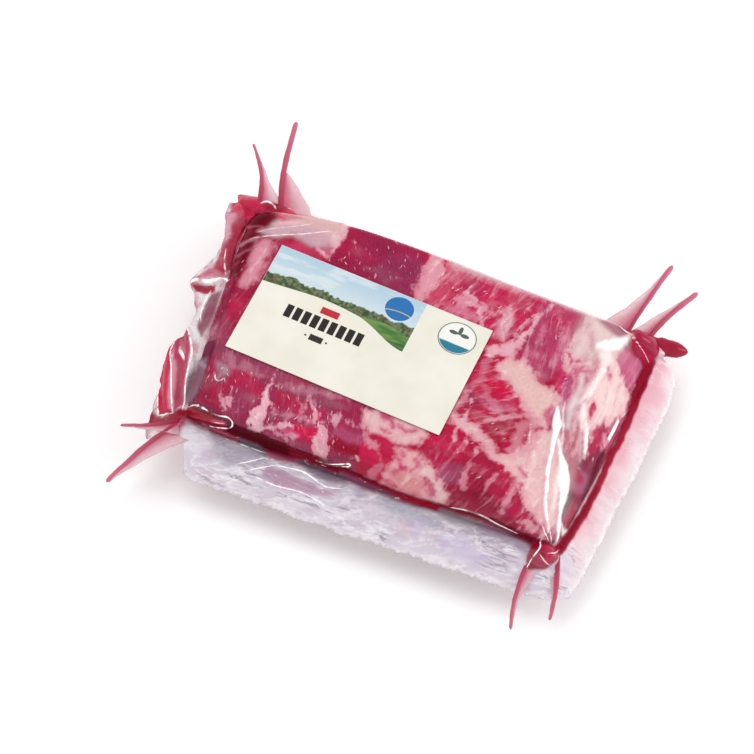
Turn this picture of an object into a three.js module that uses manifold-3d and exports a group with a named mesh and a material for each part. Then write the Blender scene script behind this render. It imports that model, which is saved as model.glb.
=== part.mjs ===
// Vacuum pack of beef: a flat block of meat drawn tight inside two clear films, with a paper label on top.
// The films meet in a seam half-way up the block. Outside the seam they lie together as a thin web,
// which droops in front, is crumpled on the left, and gathers into two long pleats at every corner.
// Millimetres. X runs along the pack and the way the label reads, Y towards its back, Z up.
// The origin is the middle of the flat underside.

import * as THREE from "three";
import { mergeVertices } from "three/addons/utils/BufferGeometryUtils.js";
import Module from "manifold-3d";

const wasm = await Module();
wasm.setup();

// Driving dimensions
const packHeight = 44; // underside to the flat top
const seamHeight = 26; // where the two films meet
const filmWeb = 1.2; // the two films together, drawn thicker than they are
const beadWidth = 4.5; // juice drawn along the seam
const sideTaper = 0.065; // the back is longer than the front by this share of the length each way
const labelLength = 109;
const labelWidth = 60;
const labelThickness = 0.4;
const labelGap = 0.3; // clear space between the label and the film
const labelPlace = { x: -26.7, y: 4.8, turn: -4.2 };

// Outlines at four levels, each by where its four sides lie. A higher squareness has tighter corners.
const topEdge = { left: -90, right: 81, front: -49, back: 54, squareness: 7 };
const seam = { left: -98, right: 98.5, front: -56, back: 60, squareness: 15 };
const web = { left: -115, right: 110, front: -78, back: 68, squareness: 12 };
const baseEdge = { left: -88, right: 88, front: -47, back: 51, squareness: 6 };
// The back bows outwards, most left of its middle, and fades within these shares of the way to either end.
const backBow = { height: 5, middle: -0.42, leftward: 0.58, rightward: 1.15 };

// What differs from side to side
const shoulderCurve = { left: 1.6, right: 1.3, front: 2.3, back: 2.3 }; // 1 a straight slope, 2 round
const webDroop = { left: 3, right: 8, front: 13, back: 5 }; // how far the web's rim hangs below the seam
const beadHeight = { left: 1.4, right: 1.8, front: 1.1, back: 0.8 };
const ruffleHeight = { left: 3.2, right: 0.9, front: 1.3, back: 0.8 };
const wallRoundness = 2.6; // how squarely the lower wall turns into the underside
const droopCurve = 1.5; // 1 would droop in a straight line
const sideSharpness = 8; // how quickly one side's value gives way to the next round a corner

// The web's waves, as the lengths over which they swing by a radian
const longWave = { x: 13, y: 11, start: 0.7 };
const shortWave = { x: 6.3, y: 8.1, share: 0.6 };

// How finely the surfaces are divided
const alongSteps = 38;
const acrossSteps = 24;
const cornerCrowding = 0.45; // share of the steps that crowd towards the corners
const shoulderLevels = [0.14, 0.3, 0.5, 0.7, 0.88];
const wallLevels = [0.35, 0.7, 0.9, 0.98];
const webLevels = [0.6, 1];
const beadLevels = [0.1, 0.55, 1];
const beadReachLimit = 0.55; // the bead never takes more of the web's width than this
const topLevels = [0.93, 0.7];
const undersideMiddle = 0.5;

// Ridges where the film is pulled tight from a corner: both ends, half width and height
const tensionFolds = [
  { from: [93, -58], to: [74, 12], width: 4.2, height: 1.6 },
  { from: [94, -54], to: [87, 0], width: 3.6, height: 1.5 },
  { from: [99, 46], to: [78, 16], width: 4.4, height: 1.3 },
  { from: [-92, -50], to: [-60, -34], width: 3.4, height: 1.0 },
  { from: [-97, 55], to: [-84, 46], width: 3.4, height: 1.1 },
];
const foldEnd = 0.12; // share of a fold's length at each end over which it stays level
const foldOnTop = 0.6; // share of a fold's height left where it runs onto the flat top

// Blisters of film with juice in them: both ends, half width, half height, sideways bend,
// and how pointed the ends are, from 0.35 for a blunt finger to 0.8 for a lens.
const pockets = {
  leftFrontLens: { from: [-101, -58, 24], to: [-111, -15, 26], half: [4.4, 4.6], bend: 2, pointed: 0.6 },
  leftInnerLens: { from: [-93, -51, 25], to: [-104, -8, 27], half: [2.8, 4.4], bend: -3, pointed: 0.75 },
  leftMiddleLobe: { from: [-97, 23, 28], to: [-117, 4, 26], half: [4.4, 4.4], bend: -2.5, pointed: 0.5 },
  leftBackFold: { from: [-108, 72, 25], to: [-110, 17, 26], half: [5.6, 3.6], bend: -1, pointed: 0.55 },
  backLeftKnot: { from: [-113, 69, 26], to: [-75, 66, 26], half: [7.4, 4.2], bend: 1, pointed: 0.45 },
  frontLeftLens: { from: [-95, -51, 26], to: [-67, -51, 28], half: [3.8, 4.4], bend: -1, pointed: 0.65 },
  frontRightKnot: { from: [79, -67, 21], to: [99, -57, 25], half: [5.4, 4.2], bend: 0, pointed: 0.5 },
  backRightTongue: { from: [88, 57, 26], to: [115, 61, 26], half: [4.2, 3.8], bend: 1, pointed: 0.35 },
};
const pocketStations = 9;
const pocketSides = 10;

// Pleats that stand out at the corners: root, tip, bead radius at each end, and the film beside the bead.
// A webWidth below zero puts that film on the right of the way from root to tip.
const pleats = {
  backLeftLong: { root: [-88, 58, 26], tip: [-103, 116.5, 26], bead: [1.9, 1.6], webWidth: -17, bend: 2.5 },
  backLeftShort: { root: [-101, 60, 26], tip: [-118, 97, 26], bead: [1.7, 1.2], webWidth: -12, bend: -3 },
  backRightLong: { root: [86, 58, 26], tip: [95, 105, 26], bead: [1.2, 1.8], webWidth: 13, bend: 0.5 },
  backRightShort: { root: [95, 57, 26], tip: [111, 95, 26], bead: [1.2, 1.8], webWidth: 9, bend: 1.5 },
  frontRightLong: { root: [84, -55, 24], tip: [85, -95, 14], bead: [1.5, 1.2], webWidth: 9, bend: -3 },
  frontRightShort: { root: [93, -56, 24], tip: [100, -84.5, 14], bead: [1.7, 1.2], webWidth: -5, bend: 1.5 },
  frontLeftLong: { root: [-88, -50, 25], tip: [-113.5, -95, 20], bead: [1.7, 1.4], webWidth: 9, bend: -2 },
  frontLeftShort: { root: [-93, -56, 25], tip: [-118.5, -66.5, 22], bead: [1.5, 1.2], webWidth: 6, bend: 1 },
};
const pleatStations = 8;
const pleatWebThickness = 1.1;
const pleatWebFade = 1.5; // how quickly the film beside the bead narrows
const weldDistance = 1e-3;

// How far the back bows outwards in the direction (s, t): half of height * (1 + cos), from 0 to a half turn.
function bowAt(s, t) {
  if (t <= 0) return 0;
  const away = s - backBow.middle;
  const share = Math.min(1, away < 0 ? -away / backBow.leftward : away / backBow.rightward);
  return (backBow.height / 2) * (1 + Math.cos(Math.PI * share));
}

// The point of an outline in the direction (s, t), which lies on the square from -1 to 1.
function outlinePoint(outline, s, t) {
  const n = outline.squareness;
  const nearer = Math.min(Math.abs(s), Math.abs(t));
  const pull = Math.pow(1 + Math.pow(nearer, n), -1 / n);
  const halfDepth = (outline.back - outline.front) / 2;
  const y = (outline.front + outline.back) / 2 + halfDepth * t * pull + bowAt(s, t);
  const x = (outline.left + outline.right) / 2 + ((outline.right - outline.left) / 2) * s * pull;
  return [x * (1 + (sideTaper * y) / seam.back), y];
}

// A value given for each side, eased from one side to the next round the corners.
function sideMix(values, s, t) {
  const share = (reach) => Math.pow(Math.max(reach, 0), sideSharpness);
  const shares = { left: share(-s), right: share(s), front: share(-t), back: share(t) };
  let sum = 0;
  let total = 0;
  for (const [side, weight] of Object.entries(shares)) {
    sum += values[side] * weight;
    total += weight;
  }
  return sum / total;
}

const between = (a, b, share) => a.map((value, i) => value + (b[i] - value) * share);

// How much the tension folds lift the film at (x, y).
function foldLift(x, y) {
  let lift = 0;
  for (const fold of tensionFolds) {
    const along = [fold.to[0] - fold.from[0], fold.to[1] - fold.from[1]];
    const length = Math.hypot(...along);
    const reach = ((x - fold.from[0]) * along[0] + (y - fold.from[1]) * along[1]) / length ** 2;
    const share = THREE.MathUtils.clamp(reach, 0, 1);
    const away = Math.hypot(x - fold.from[0] - along[0] * share, y - fold.from[1] - along[1] * share);
    const fade = Math.sin(Math.PI * THREE.MathUtils.clamp(reach, foldEnd, 1 - foldEnd));
    lift += fold.height * fade * Math.exp(-((away / fold.width) ** 2));
  }
  return lift;
}

// Gentle waves in the web, longer in front than on the crumpled left.
function ruffle(s, t, x, y) {
  const long = Math.sin(x / longWave.x + longWave.start) * Math.cos(y / longWave.y);
  const short = Math.sin(x / shortWave.x - y / shortWave.y);
  return sideMix(ruffleHeight, s, t) * (long + shortWave.share * short);
}

// The levels of the shell from the underside up, each a function of the direction (s, t).
function undersideRing(share) {
  return (s, t) => [...outlinePoint(baseEdge, s, t).map((value) => value * share), 0];
}

function wallRing(depth) {
  const inset = 1 - Math.pow(1 - Math.pow(depth, wallRoundness), 1 / wallRoundness);
  return (s, t) => {
    const plan = between(outlinePoint(seam, s, t), outlinePoint(baseEdge, s, t), inset);
    return [...plan, (seamHeight - filmWeb) * (1 - depth)];
  };
}

function webRing(reach, lift) {
  return (s, t) => {
    const [x, y] = between(outlinePoint(seam, s, t), outlinePoint(web, s, t), reach);
    const droop = sideMix(webDroop, s, t) * Math.pow(reach, droopCurve);
    return [x, y, seamHeight + lift - droop + ruffle(s, t, x, y) * reach * reach];
  };
}

// The bead of juice just outside the seam, at a share of its own width.
function beadRing(share) {
  return (s, t) => {
    const inner = outlinePoint(seam, s, t);
    const outer = outlinePoint(web, s, t);
    const width = Math.hypot(outer[0] - inner[0], outer[1] - inner[1]);
    const reach = Math.min((beadWidth / width) * share, beadReachLimit);
    const [x, y, z] = webRing(reach, 0)(s, t);
    return [x, y, z + sideMix(beadHeight, s, t) * Math.sin(Math.PI * share)];
  };
}

function shoulderRing(reach) {
  return (s, t) => {
    const power = sideMix(shoulderCurve, s, t);
    const [x, y] = between(outlinePoint(topEdge, s, t), outlinePoint(seam, s, t), reach);
    const rise = Math.pow(1 - Math.pow(reach, power), 1 / power);
    return [x, y, seamHeight + (packHeight - seamHeight) * rise + foldLift(x, y) * rise];
  };
}

const topMiddle = [(topEdge.left + topEdge.right) / 2, (topEdge.front + topEdge.back) / 2];

function topRing(share) {
  return (s, t) => {
    const [x, y] = between(topMiddle, outlinePoint(topEdge, s, t), share);
    const nearEdge = share === topLevels[0];
    return [x, y, packHeight + (nearEdge ? foldLift(x, y) * foldOnTop : 0)];
  };
}

// Directions round the square from its front left corner, closer together near the corners.
function squareWalk() {
  const walk = [];
  const eased = (k, steps) => {
    const even = (2 * k) / steps - 1;
    return (1 - cornerCrowding) * even + cornerCrowding * Math.sin((Math.PI / 2) * even);
  };
  for (let k = 0; k < alongSteps; k++) walk.push([eased(k, alongSteps), -1]);
  for (let k = 0; k < acrossSteps; k++) walk.push([1, eased(k, acrossSteps)]);
  for (let k = 0; k < alongSteps; k++) walk.push([-eased(k, alongSteps), 1]);
  for (let k = 0; k < acrossSteps; k++) walk.push([-1, -eased(k, acrossSteps)]);
  return walk;
}

// A closed surface through rings of equal count, with a single point at each end.
function ringGeometry(rings, firstPoint, lastPoint) {
  const count = rings[0].length;
  const positions = [...rings.flat(), firstPoint, lastPoint];
  const first = positions.length - 2;
  const last = positions.length - 1;
  const index = [];
  for (let k = 0; k < count; k++) {
    const next = (k + 1) % count;
    index.push(first, next, k);
    for (let level = 0; level + 1 < rings.length; level++) {
      const low = level * count;
      const high = low + count;
      index.push(low + k, low + next, high + next, low + k, high + next, high + k);
    }
    const top = (rings.length - 1) * count;
    index.push(last, top + k, top + next);
  }
  const geometry = new THREE.BufferGeometry();
  geometry.setAttribute("position", new THREE.Float32BufferAttribute(positions.flat(), 3));
  geometry.setIndex(index);
  return geometry;
}

function shellGeometry() {
  const levels = [
    undersideRing(undersideMiddle),
    undersideRing(1),
    ...wallLevels.toReversed().map(wallRing),
    wallRing(0),
    ...webLevels.map((reach) => webRing(reach, -filmWeb)),
    ...webLevels.toReversed().map((reach) => webRing(reach, 0)),
    ...beadLevels.toReversed().map(beadRing),
    ...shoulderLevels.toReversed().map(shoulderRing),
    shoulderRing(0),
    ...topLevels.map(topRing),
  ];
  const walk = squareWalk();
  const rings = levels.map((level) => walk.map(([s, t]) => level(s, t)));
  return ringGeometry(rings, [0, 0, 0], [...topMiddle, packHeight]);
}

// A pocket: an oval section carried along a slightly bent line, swelling from nothing at both ends.
function pocketGeometry({ from, to, half, bend, pointed }) {
  const along = [to[0] - from[0], to[1] - from[1]];
  const length = Math.hypot(...along);
  const side = [-along[1] / length, along[0] / length];
  const rings = [];
  for (let k = 1; k < pocketStations; k++) {
    const share = k / pocketStations;
    const swell = Math.pow(4 * share * (1 - share), pointed);
    const [x, y, z] = between(from, to, share);
    const ring = [];
    for (let j = 0; j < pocketSides; j++) {
      const angle = (2 * Math.PI * j) / pocketSides;
      const across = half[0] * swell * Math.cos(angle) + bend * Math.sin(Math.PI * share);
      const up = half[1] * swell * Math.sin(angle);
      ring.push([x + side[0] * across, y + side[1] * across, z + up]);
    }
    rings.push(ring);
  }
  return ringGeometry(rings, from, to);
}

// A pleat: a round bead with a flat blade of film on one side, both narrowing from root to tip.
function pleatGeometry({ root, tip, bead, webWidth, bend }) {
  const along = [tip[0] - root[0], tip[1] - root[1]];
  const length = Math.hypot(...along);
  const side = [-along[1] / length, along[0] / length];
  const facing = Math.sign(webWidth);
  const section = (share) => {
    const radius = bead[0] + (bead[1] - bead[0]) * share;
    const blade = radius + Math.abs(webWidth) * Math.pow(1 - share, pleatWebFade);
    const half = pleatWebThickness / 2;
    const sideways = bend * Math.sin(Math.PI * share);
    const corner = radius * Math.SQRT1_2;
    const profile = [
      [-radius, 0],
      [-corner, -corner],
      [0, -radius],
      [corner, -corner],
      [blade, -half],
      [blade, half],
      [corner, corner],
      [0, radius],
      [-corner, corner],
    ];
    const ordered = facing > 0 ? profile : profile.toReversed();
    const [x, y, z] = between(root, tip, share);
    return ordered.map(([across, up]) => [
      x + side[0] * (across * facing + sideways),
      y + side[1] * (across * facing + sideways),
      z + up,
    ]);
  };
  const rings = [];
  for (let k = 0; k <= pleatStations; k++) rings.push(section(k / pleatStations));
  return ringGeometry(rings, root, tip);
}

function solidOf(geometry) {
  const bare = geometry.clone();
  bare.deleteAttribute("normal");
  bare.deleteAttribute("uv");
  const merged = mergeVertices(bare, weldDistance);
  const solid = new wasm.Manifold(
    new wasm.Mesh({
      numProp: 3,
      vertProperties: merged.attributes.position.array,
      triVerts: new Uint32Array(merged.index.array),
    }),
  );
  if (solid.volume() <= 0) throw new Error("a piece of the bag is inside out");
  return solid;
}

function geometryOf(solid) {
  const { vertProperties, triVerts, numProp } = solid.getMesh();
  const geometry = new THREE.BufferGeometry();
  const positions = new Float32Array((vertProperties.length / numProp) * 3);
  for (let i = 0; i < positions.length / 3; i++) {
    for (let axis = 0; axis < 3; axis++) positions[3 * i + axis] = vertProperties[numProp * i + axis];
  }
  geometry.setAttribute("position", new THREE.BufferAttribute(positions, 3));
  geometry.setIndex(new THREE.BufferAttribute(new Uint32Array(triVerts), 1));
  return geometry;
}

// The sealed bag and the meat that fills it, as one solid
function makeBag() {
  let solid = solidOf(shellGeometry());
  for (const pocket of Object.values(pockets)) solid = solid.add(solidOf(pocketGeometry(pocket)));
  for (const pleat of Object.values(pleats)) solid = solid.add(solidOf(pleatGeometry(pleat)));
  const geometry = geometryOf(solid);
  geometry.computeVertexNormals();
  const material = new THREE.MeshStandardMaterial({ color: 0xb02a50, roughness: 0.18, metalness: 0 });
  const bag = new THREE.Mesh(geometry, material);
  bag.name = "bag";
  return bag;
}

function makeLabel() {
  const geometry = new THREE.BoxGeometry(labelLength, labelWidth, labelThickness);
  const material = new THREE.MeshStandardMaterial({ color: 0xf1ede0, roughness: 0.7, metalness: 0 });
  const label = new THREE.Mesh(geometry, material);
  label.name = "label";
  label.position.set(labelPlace.x, labelPlace.y, packHeight + labelGap + labelThickness / 2);
  label.rotation.z = THREE.MathUtils.degToRad(labelPlace.turn);
  return label;
}

const meatPack = new THREE.Group();
meatPack.add(makeBag(), makeLabel());

export default meatPack;
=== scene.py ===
import math

import bpy
import numpy as np
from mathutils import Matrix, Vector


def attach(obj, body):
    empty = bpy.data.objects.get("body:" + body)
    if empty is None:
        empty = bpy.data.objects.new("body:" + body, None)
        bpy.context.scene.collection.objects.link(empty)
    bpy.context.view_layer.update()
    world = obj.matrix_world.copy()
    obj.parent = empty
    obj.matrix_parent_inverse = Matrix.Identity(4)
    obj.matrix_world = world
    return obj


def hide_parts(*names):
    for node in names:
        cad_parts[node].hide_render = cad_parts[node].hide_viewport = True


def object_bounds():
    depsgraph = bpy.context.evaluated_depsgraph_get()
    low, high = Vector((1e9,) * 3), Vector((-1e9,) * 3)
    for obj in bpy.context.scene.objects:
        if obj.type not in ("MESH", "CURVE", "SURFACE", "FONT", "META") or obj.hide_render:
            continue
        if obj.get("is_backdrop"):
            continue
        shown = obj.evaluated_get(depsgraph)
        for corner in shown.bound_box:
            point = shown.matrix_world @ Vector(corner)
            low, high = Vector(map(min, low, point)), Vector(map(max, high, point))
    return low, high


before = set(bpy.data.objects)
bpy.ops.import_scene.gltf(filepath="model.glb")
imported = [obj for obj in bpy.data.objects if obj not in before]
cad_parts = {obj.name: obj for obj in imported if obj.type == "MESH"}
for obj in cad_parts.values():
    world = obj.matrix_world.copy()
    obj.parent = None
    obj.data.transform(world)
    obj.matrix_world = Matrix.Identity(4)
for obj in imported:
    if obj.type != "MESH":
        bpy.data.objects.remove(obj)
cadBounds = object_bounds()
metre = 0.001

# Small helpers


def linear(hexCode):
    # sRGB hex to linear: c / 12.92 up to 0.04045, else ((c + 0.055) / 1.055) ^ 2.4
    channels = np.array([int(hexCode[i : i + 2], 16) for i in (1, 3, 5)]) / 255
    return np.where(channels <= 0.04045, channels / 12.92, ((channels + 0.055) / 1.055) ** 2.4)


def rgba(hexCode):
    return (*linear(hexCode), 1.0)


def ease(low, high, value):
    # 3u² - 2u³, with u the value's clamped share of the way from low to high
    u = np.clip((value - low) / (high - low), 0, 1)
    return u * u * (3 - 2 * u)


def mix(a, b, share):
    return a + (b - a) * share


def mixColour(a, b, share):
    return a + (b - a) * np.asarray(share)[..., None]


noiseLayers, noiseSize = 12, 256
noiseTables = np.random.default_rng(41).random((noiseLayers, noiseSize, noiseSize))


def patchy(x, y, layer):
    # value noise from -1 to 1: random heights at whole numbers, eased in between
    table, wrap = noiseTables[layer % noiseLayers], noiseSize - 1
    column, row = np.floor(x).astype(int), np.floor(y).astype(int)
    u, v = x - column, y - row
    u, v = u * u * (3 - 2 * u), v * v * (3 - 2 * v)
    corner = lambda i, j: table[(column + i) & wrap, (row + j) & wrap]
    near = mix(corner(0, 0), corner(1, 0), u)
    far = mix(corner(0, 1), corner(1, 1), u)
    return 2 * mix(near, far, v) - 1


def cloudy(x, y, layer, octaves=3):
    # octaves of patchy noise, each half as high and twice as fine as the last, and shifted from it
    total, height = 0, 1
    for octave in range(octaves):
        fine = 2**octave
        heights = patchy(x * fine + 17.3 * octave, y * fine + 9.1 * octave, layer + octave)
        total = total + height * heights
        height = height / 2
    return total / (2 - 2 ** (1 - octaves))


def wandered(u, v, bends):
    # (u, v) moved about by noise: each bend is how far and how wide, in mm, and a noise layer for u and v
    movedU, movedV = u, v
    for reach, size, layerU, layerV in bends:
        movedU = movedU + reach * cloudy(u / size, v / size, layerU)
        movedV = movedV + reach * cloudy(u / size, v / size, layerV)
    return movedU, movedV


def besideLine(u, v, start, end):
    # the share of a straight line that lies nearest to each (u, v), and its distance from there
    run, rise = end[0] - start[0], end[1] - start[1]
    share = np.clip(((u - start[0]) * run + (v - start[1]) * rise) / (run * run + rise * rise + 1e-9), 0, 1)
    return share, np.hypot(u - start[0] - run * share, v - start[1] - rise * share)


def depthInPatch(u, v, corners):
    # distance to the nearest side of a polygon, positive inside it
    corners = np.array(corners, float)
    inside, nearest = np.zeros(u.shape, bool), np.full(u.shape, 1e9)
    for (x1, y1), (x2, y2) in zip(corners, np.roll(corners, -1, 0)):
        nearest = np.minimum(nearest, besideLine(u, v, (x1, y1), (x2, y2))[1])
        inside ^= ((y1 > v) != (y2 > v)) & (u < (x2 - x1) * (v - y1) / (y2 - y1 + 1e-12) + x1)
    return np.where(inside, nearest, -nearest)


def depthInStroke(u, v, points):
    # half width less the distance to a line through rows of (u, v, half width), so positive in the stroke
    points = np.array(points, float)
    deepest = np.full(u.shape, -1e9)
    for (x1, y1, w1), (x2, y2, w2) in zip(points[:-1], points[1:]):
        share, away = besideLine(u, v, (x1, y1), (x2, y2))
        deepest = np.maximum(deepest, w1 + (w2 - w1) * share - away)
    return deepest


def depthIn(u, v, shape):
    # a shape whose points have three numbers is a stroke, any other a patch
    return depthInStroke(u, v, shape) if len(shape[0]) == 3 else depthInPatch(u, v, shape)


def sheetQuads(number):
    # the quads of an open sheet of point numbers
    return np.stack([number[:-1, :-1], number[1:, :-1], number[1:, 1:], number[:-1, 1:]], -1).reshape(-1, 4)


def ringQuads(rings):
    # the quads between closed rings of point numbers, each row the next ring out
    turned = np.roll(rings, -1, 1)
    return np.stack([rings[1:], turned[1:], turned[:-1], rings[:-1]], -1).reshape(-1, 4)


def closeRing(ring, middle):
    # a fan from a ring of point numbers to one middle point
    return np.stack([ring, np.roll(ring, -1), np.full(len(ring), middle)], -1)


def fillMesh(name, points, quads, triangles=(), layers=None):
    # faces from arrays of point numbers; points are mm; a layer three wide is a vector, four wide a colour
    mesh = bpy.data.meshes.new(name)
    quads, triangles = np.asarray(quads, int).reshape(-1, 4), np.asarray(triangles, int).reshape(-1, 3)
    loops = np.concatenate([quads.ravel(), triangles.ravel()])
    sizes = np.concatenate([np.full(len(quads), 4), np.full(len(triangles), 3)])
    mesh.vertices.add(len(points))
    mesh.vertices.foreach_set("co", (np.asarray(points) * metre).ravel())
    mesh.loops.add(len(loops))
    mesh.loops.foreach_set("vertex_index", loops)
    mesh.polygons.add(len(sizes))
    mesh.polygons.foreach_set("loop_start", np.concatenate([[0], np.cumsum(sizes)[:-1]]))
    mesh.update(calc_edges=True)
    mesh.polygons.foreach_set("use_smooth", np.ones(len(sizes), bool))
    for key, values in (layers or {}).items():
        values = np.asarray(values, float)
        if values.shape[-1] == 4:
            layer = mesh.color_attributes.new(key, "FLOAT_COLOR", "POINT")
            layer.data.foreach_set("color", values.ravel())
        else:
            layer = mesh.attributes.new(key, "FLOAT_VECTOR", "POINT")
            layer.data.foreach_set("vector", values.ravel())
    mesh.validate()
    piece = bpy.data.objects.new(name, mesh)
    bpy.context.scene.collection.objects.link(piece)
    return piece


def addNode(tree, kind, inputs=None, **settings):
    # a shader node with its settings; each input is given a value, or the node or socket that feeds it
    made = tree.nodes.new("ShaderNode" + kind)
    for key, value in settings.items():
        setattr(made, key, value)
    for key, value in (inputs or {}).items():
        if isinstance(value, bpy.types.Node):
            value = next(socket for socket in value.outputs if socket.enabled)
        if isinstance(value, bpy.types.NodeSocket):
            tree.links.new(value, made.inputs[key])
        else:
            made.inputs[key].default_value = value
    return made


def freshMaterial(name):
    material = bpy.data.materials.new(name)
    material.use_nodes = True
    material.node_tree.nodes.clear()
    return material, material.node_tree


# The pack's own form, the same as the solid's

form = {
    "height": 44.0,
    "seamHeight": 26.0,
    "sideTaper": 0.065,  # the back is longer than the front
    "taperAt": 60.0,
    "topEdge": {"left": -90, "right": 81, "front": -49, "back": 54, "squareness": 7},
    "seam": {"left": -98, "right": 98.5, "front": -56, "back": 60, "squareness": 15},
    "webRim": {"left": -115, "right": 110, "front": -78, "back": 68, "squareness": 12},
    "baseEdge": {"left": -88, "right": 88, "front": -47, "back": 51, "squareness": 6},
    "backBow": {"height": 5.0, "middle": -0.42, "leftward": 0.58, "rightward": 1.15},
    "shoulderCurve": {"left": 1.6, "right": 1.3, "front": 2.3, "back": 2.3},
    "webDroop": {"left": 3, "right": 8, "front": 13, "back": 5},
    "wallRoundness": 2.6,
    "unroll": 0.45,  # how far a pattern spreads outwards for each mm that the shoulder drops
    "crowding": 0.3,  # share of the spacing that crowds towards the corners
}


def bowAt(s, t):
    # how far the back bows outwards: half of height * (1 + cos), from 0 to a half turn
    bow = form["backBow"]
    away = s - bow["middle"]
    share = np.minimum(1, np.where(away < 0, -away / bow["leftward"], away / bow["rightward"]))
    return np.where(t > 0, bow["height"] / 2 * (1 + np.cos(np.pi * share)), 0)


def outlinePoint(outline, s, t, inset=0.0):
    # (s, t) runs round a square from -1 to 1; (1 + nearer^n)^(-1/n) rounds its corners off
    n = outline["squareness"]
    pull = (1 + np.minimum(np.abs(s), np.abs(t)) ** n) ** (-1 / n)
    left, right, front, back = (outline[side] for side in ("left", "right", "front", "back"))
    x = (left + right) / 2 + ((right - left) / 2 - inset) * s * pull
    y = (front + back) / 2 + ((back - front) / 2 - inset) * t * pull
    y = y + bowAt(s, t)
    return np.stack([x * (1 + form["sideTaper"] * y / form["taperAt"]), y], -1)


def sideMix(values, s, t):
    # a value for each side, weighted by the eighth power of how far (s, t) leans that way
    leans = {"left": -s, "right": s, "front": -t, "back": t}
    weights = {side: np.maximum(lean, 0) ** 8 for side, lean in leans.items()}
    return sum(values[side] * weights[side] for side in values) / sum(weights.values())


def raised(plan, z):
    return np.concatenate([plan, np.broadcast_to(z, plan.shape[:-1])[..., None]], -1)


def topPoint(share, s, t, inset=0.0):
    # a share of the way from the top's middle to its edge
    edge = form["topEdge"]
    middle = np.array([(edge["left"] + edge["right"]) / 2, (edge["front"] + edge["back"]) / 2])
    plan = middle + (outlinePoint(edge, s, t, inset) - middle) * np.asarray(share)[..., None]
    return raised(plan, form["height"] - inset)


def shoulderPoint(turn, s, t, inset=0.0):
    # reach^p + rise^p = 1 from the top edge out and down to the seam, with turn from 0 to 1
    p = sideMix(form["shoulderCurve"], s, t)
    reach = np.sin(turn * np.pi / 2) ** (2 / p)
    rise = np.cos(turn * np.pi / 2) ** (2 / p)
    top, seam = outlinePoint(form["topEdge"], s, t, inset), outlinePoint(form["seam"], s, t, inset)
    drop = form["height"] - inset - form["seamHeight"]
    return raised(top + (seam - top) * reach[..., None], form["seamHeight"] + drop * rise)


def webPoint(reach, s, t):
    # from the seam out to the rim, sinking by the droop times reach^1.5
    seam, rim = outlinePoint(form["seam"], s, t), outlinePoint(form["webRim"], s, t)
    droop = sideMix(form["webDroop"], s, t) * reach**1.5
    return raised(seam + (rim - seam) * reach[..., None], form["seamHeight"] - droop)


def wallPoint(turn, s, t, inset=0.0):
    # the lower wall, from the seam in and down to the underside, rounder than a quarter circle
    power = 2 / form["wallRoundness"]
    depth = np.sin(turn * np.pi / 2) ** power
    within = 1 - np.cos(turn * np.pi / 2) ** power
    seam, base = outlinePoint(form["seam"], s, t, inset), outlinePoint(form["baseEdge"], s, t, inset)
    drop = form["seamHeight"] - inset
    return raised(seam + (base - seam) * within[..., None], inset + drop * (1 - depth))


def undersidePoint(share, s, t, inset=0.0):
    # a share of the way from the underside's middle to its edge
    return raised(outlinePoint(form["baseEdge"], s, t, inset) * np.asarray(share)[..., None], inset)


def unrolled(points, s, t):
    # where a pattern lies: the plan moved outwards by a share of the drop, so that it isn't drawn out on
    # the shoulder
    outward = outlinePoint(form["seam"], s, t) - outlinePoint(form["topEdge"], s, t)
    outward = outward / np.linalg.norm(outward, axis=-1, keepdims=True)
    drop = np.clip(form["height"] - points[..., 2], 0, form["height"] - form["seamHeight"])
    return points[..., :2] + outward * (form["unroll"] * drop)[..., None]


def crowded(count):
    # even steps from -1 to 1, mixed with their sine so that they crowd towards both ends
    even = np.linspace(-1, 1, count)
    return mix(even, np.sin(np.pi / 2 * even), form["crowding"])


def squareWalk(across, along):
    # directions round the square, anticlockwise from its front left corner
    alongS, acrossT = crowded(across)[:-1], crowded(along)[:-1]
    s = np.concatenate([alongS, np.ones(len(acrossT)), -alongS, -np.ones(len(acrossT))])
    t = np.concatenate([-np.ones(len(alongS)), acrossT, np.ones(len(alongS)), -acrossT])
    return s, t


def flatTop(across, along, inset=0.0):
    # a lattice over the top: its directions, and each point a share of the way out to the edge
    s, t = np.meshgrid(crowded(across), crowded(along), indexing="ij")
    share = np.maximum(np.maximum(np.abs(s), np.abs(t)), 1e-6)
    return s, t, topPoint(share, s / share, t / share, inset)


def ringShares(count, walk):
    # count even steps from 0 to 1, each the same all round the walk
    return np.linspace(0, 1, count + 1)[:, None] + 0 * walk


def shellFaces(across, along, ringCount):
    # quads of a lattice, then of the rings round it, in the order that turns them outwards
    number = np.arange(across * along).reshape(across, along)
    edge = np.concatenate([number[:-1, 0], number[-1, :-1], number[::-1, -1][:-1], number[0, ::-1][:-1]])
    rings = np.concatenate([[edge], across * along + np.arange(ringCount * len(edge)).reshape(ringCount, -1)])
    return np.concatenate([sheetQuads(number), ringQuads(rings)]), rings


print("form ready")

# The beef
# A pattern is painted in (u, v): plan millimetres on top, spread outwards on the shoulder.

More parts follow.
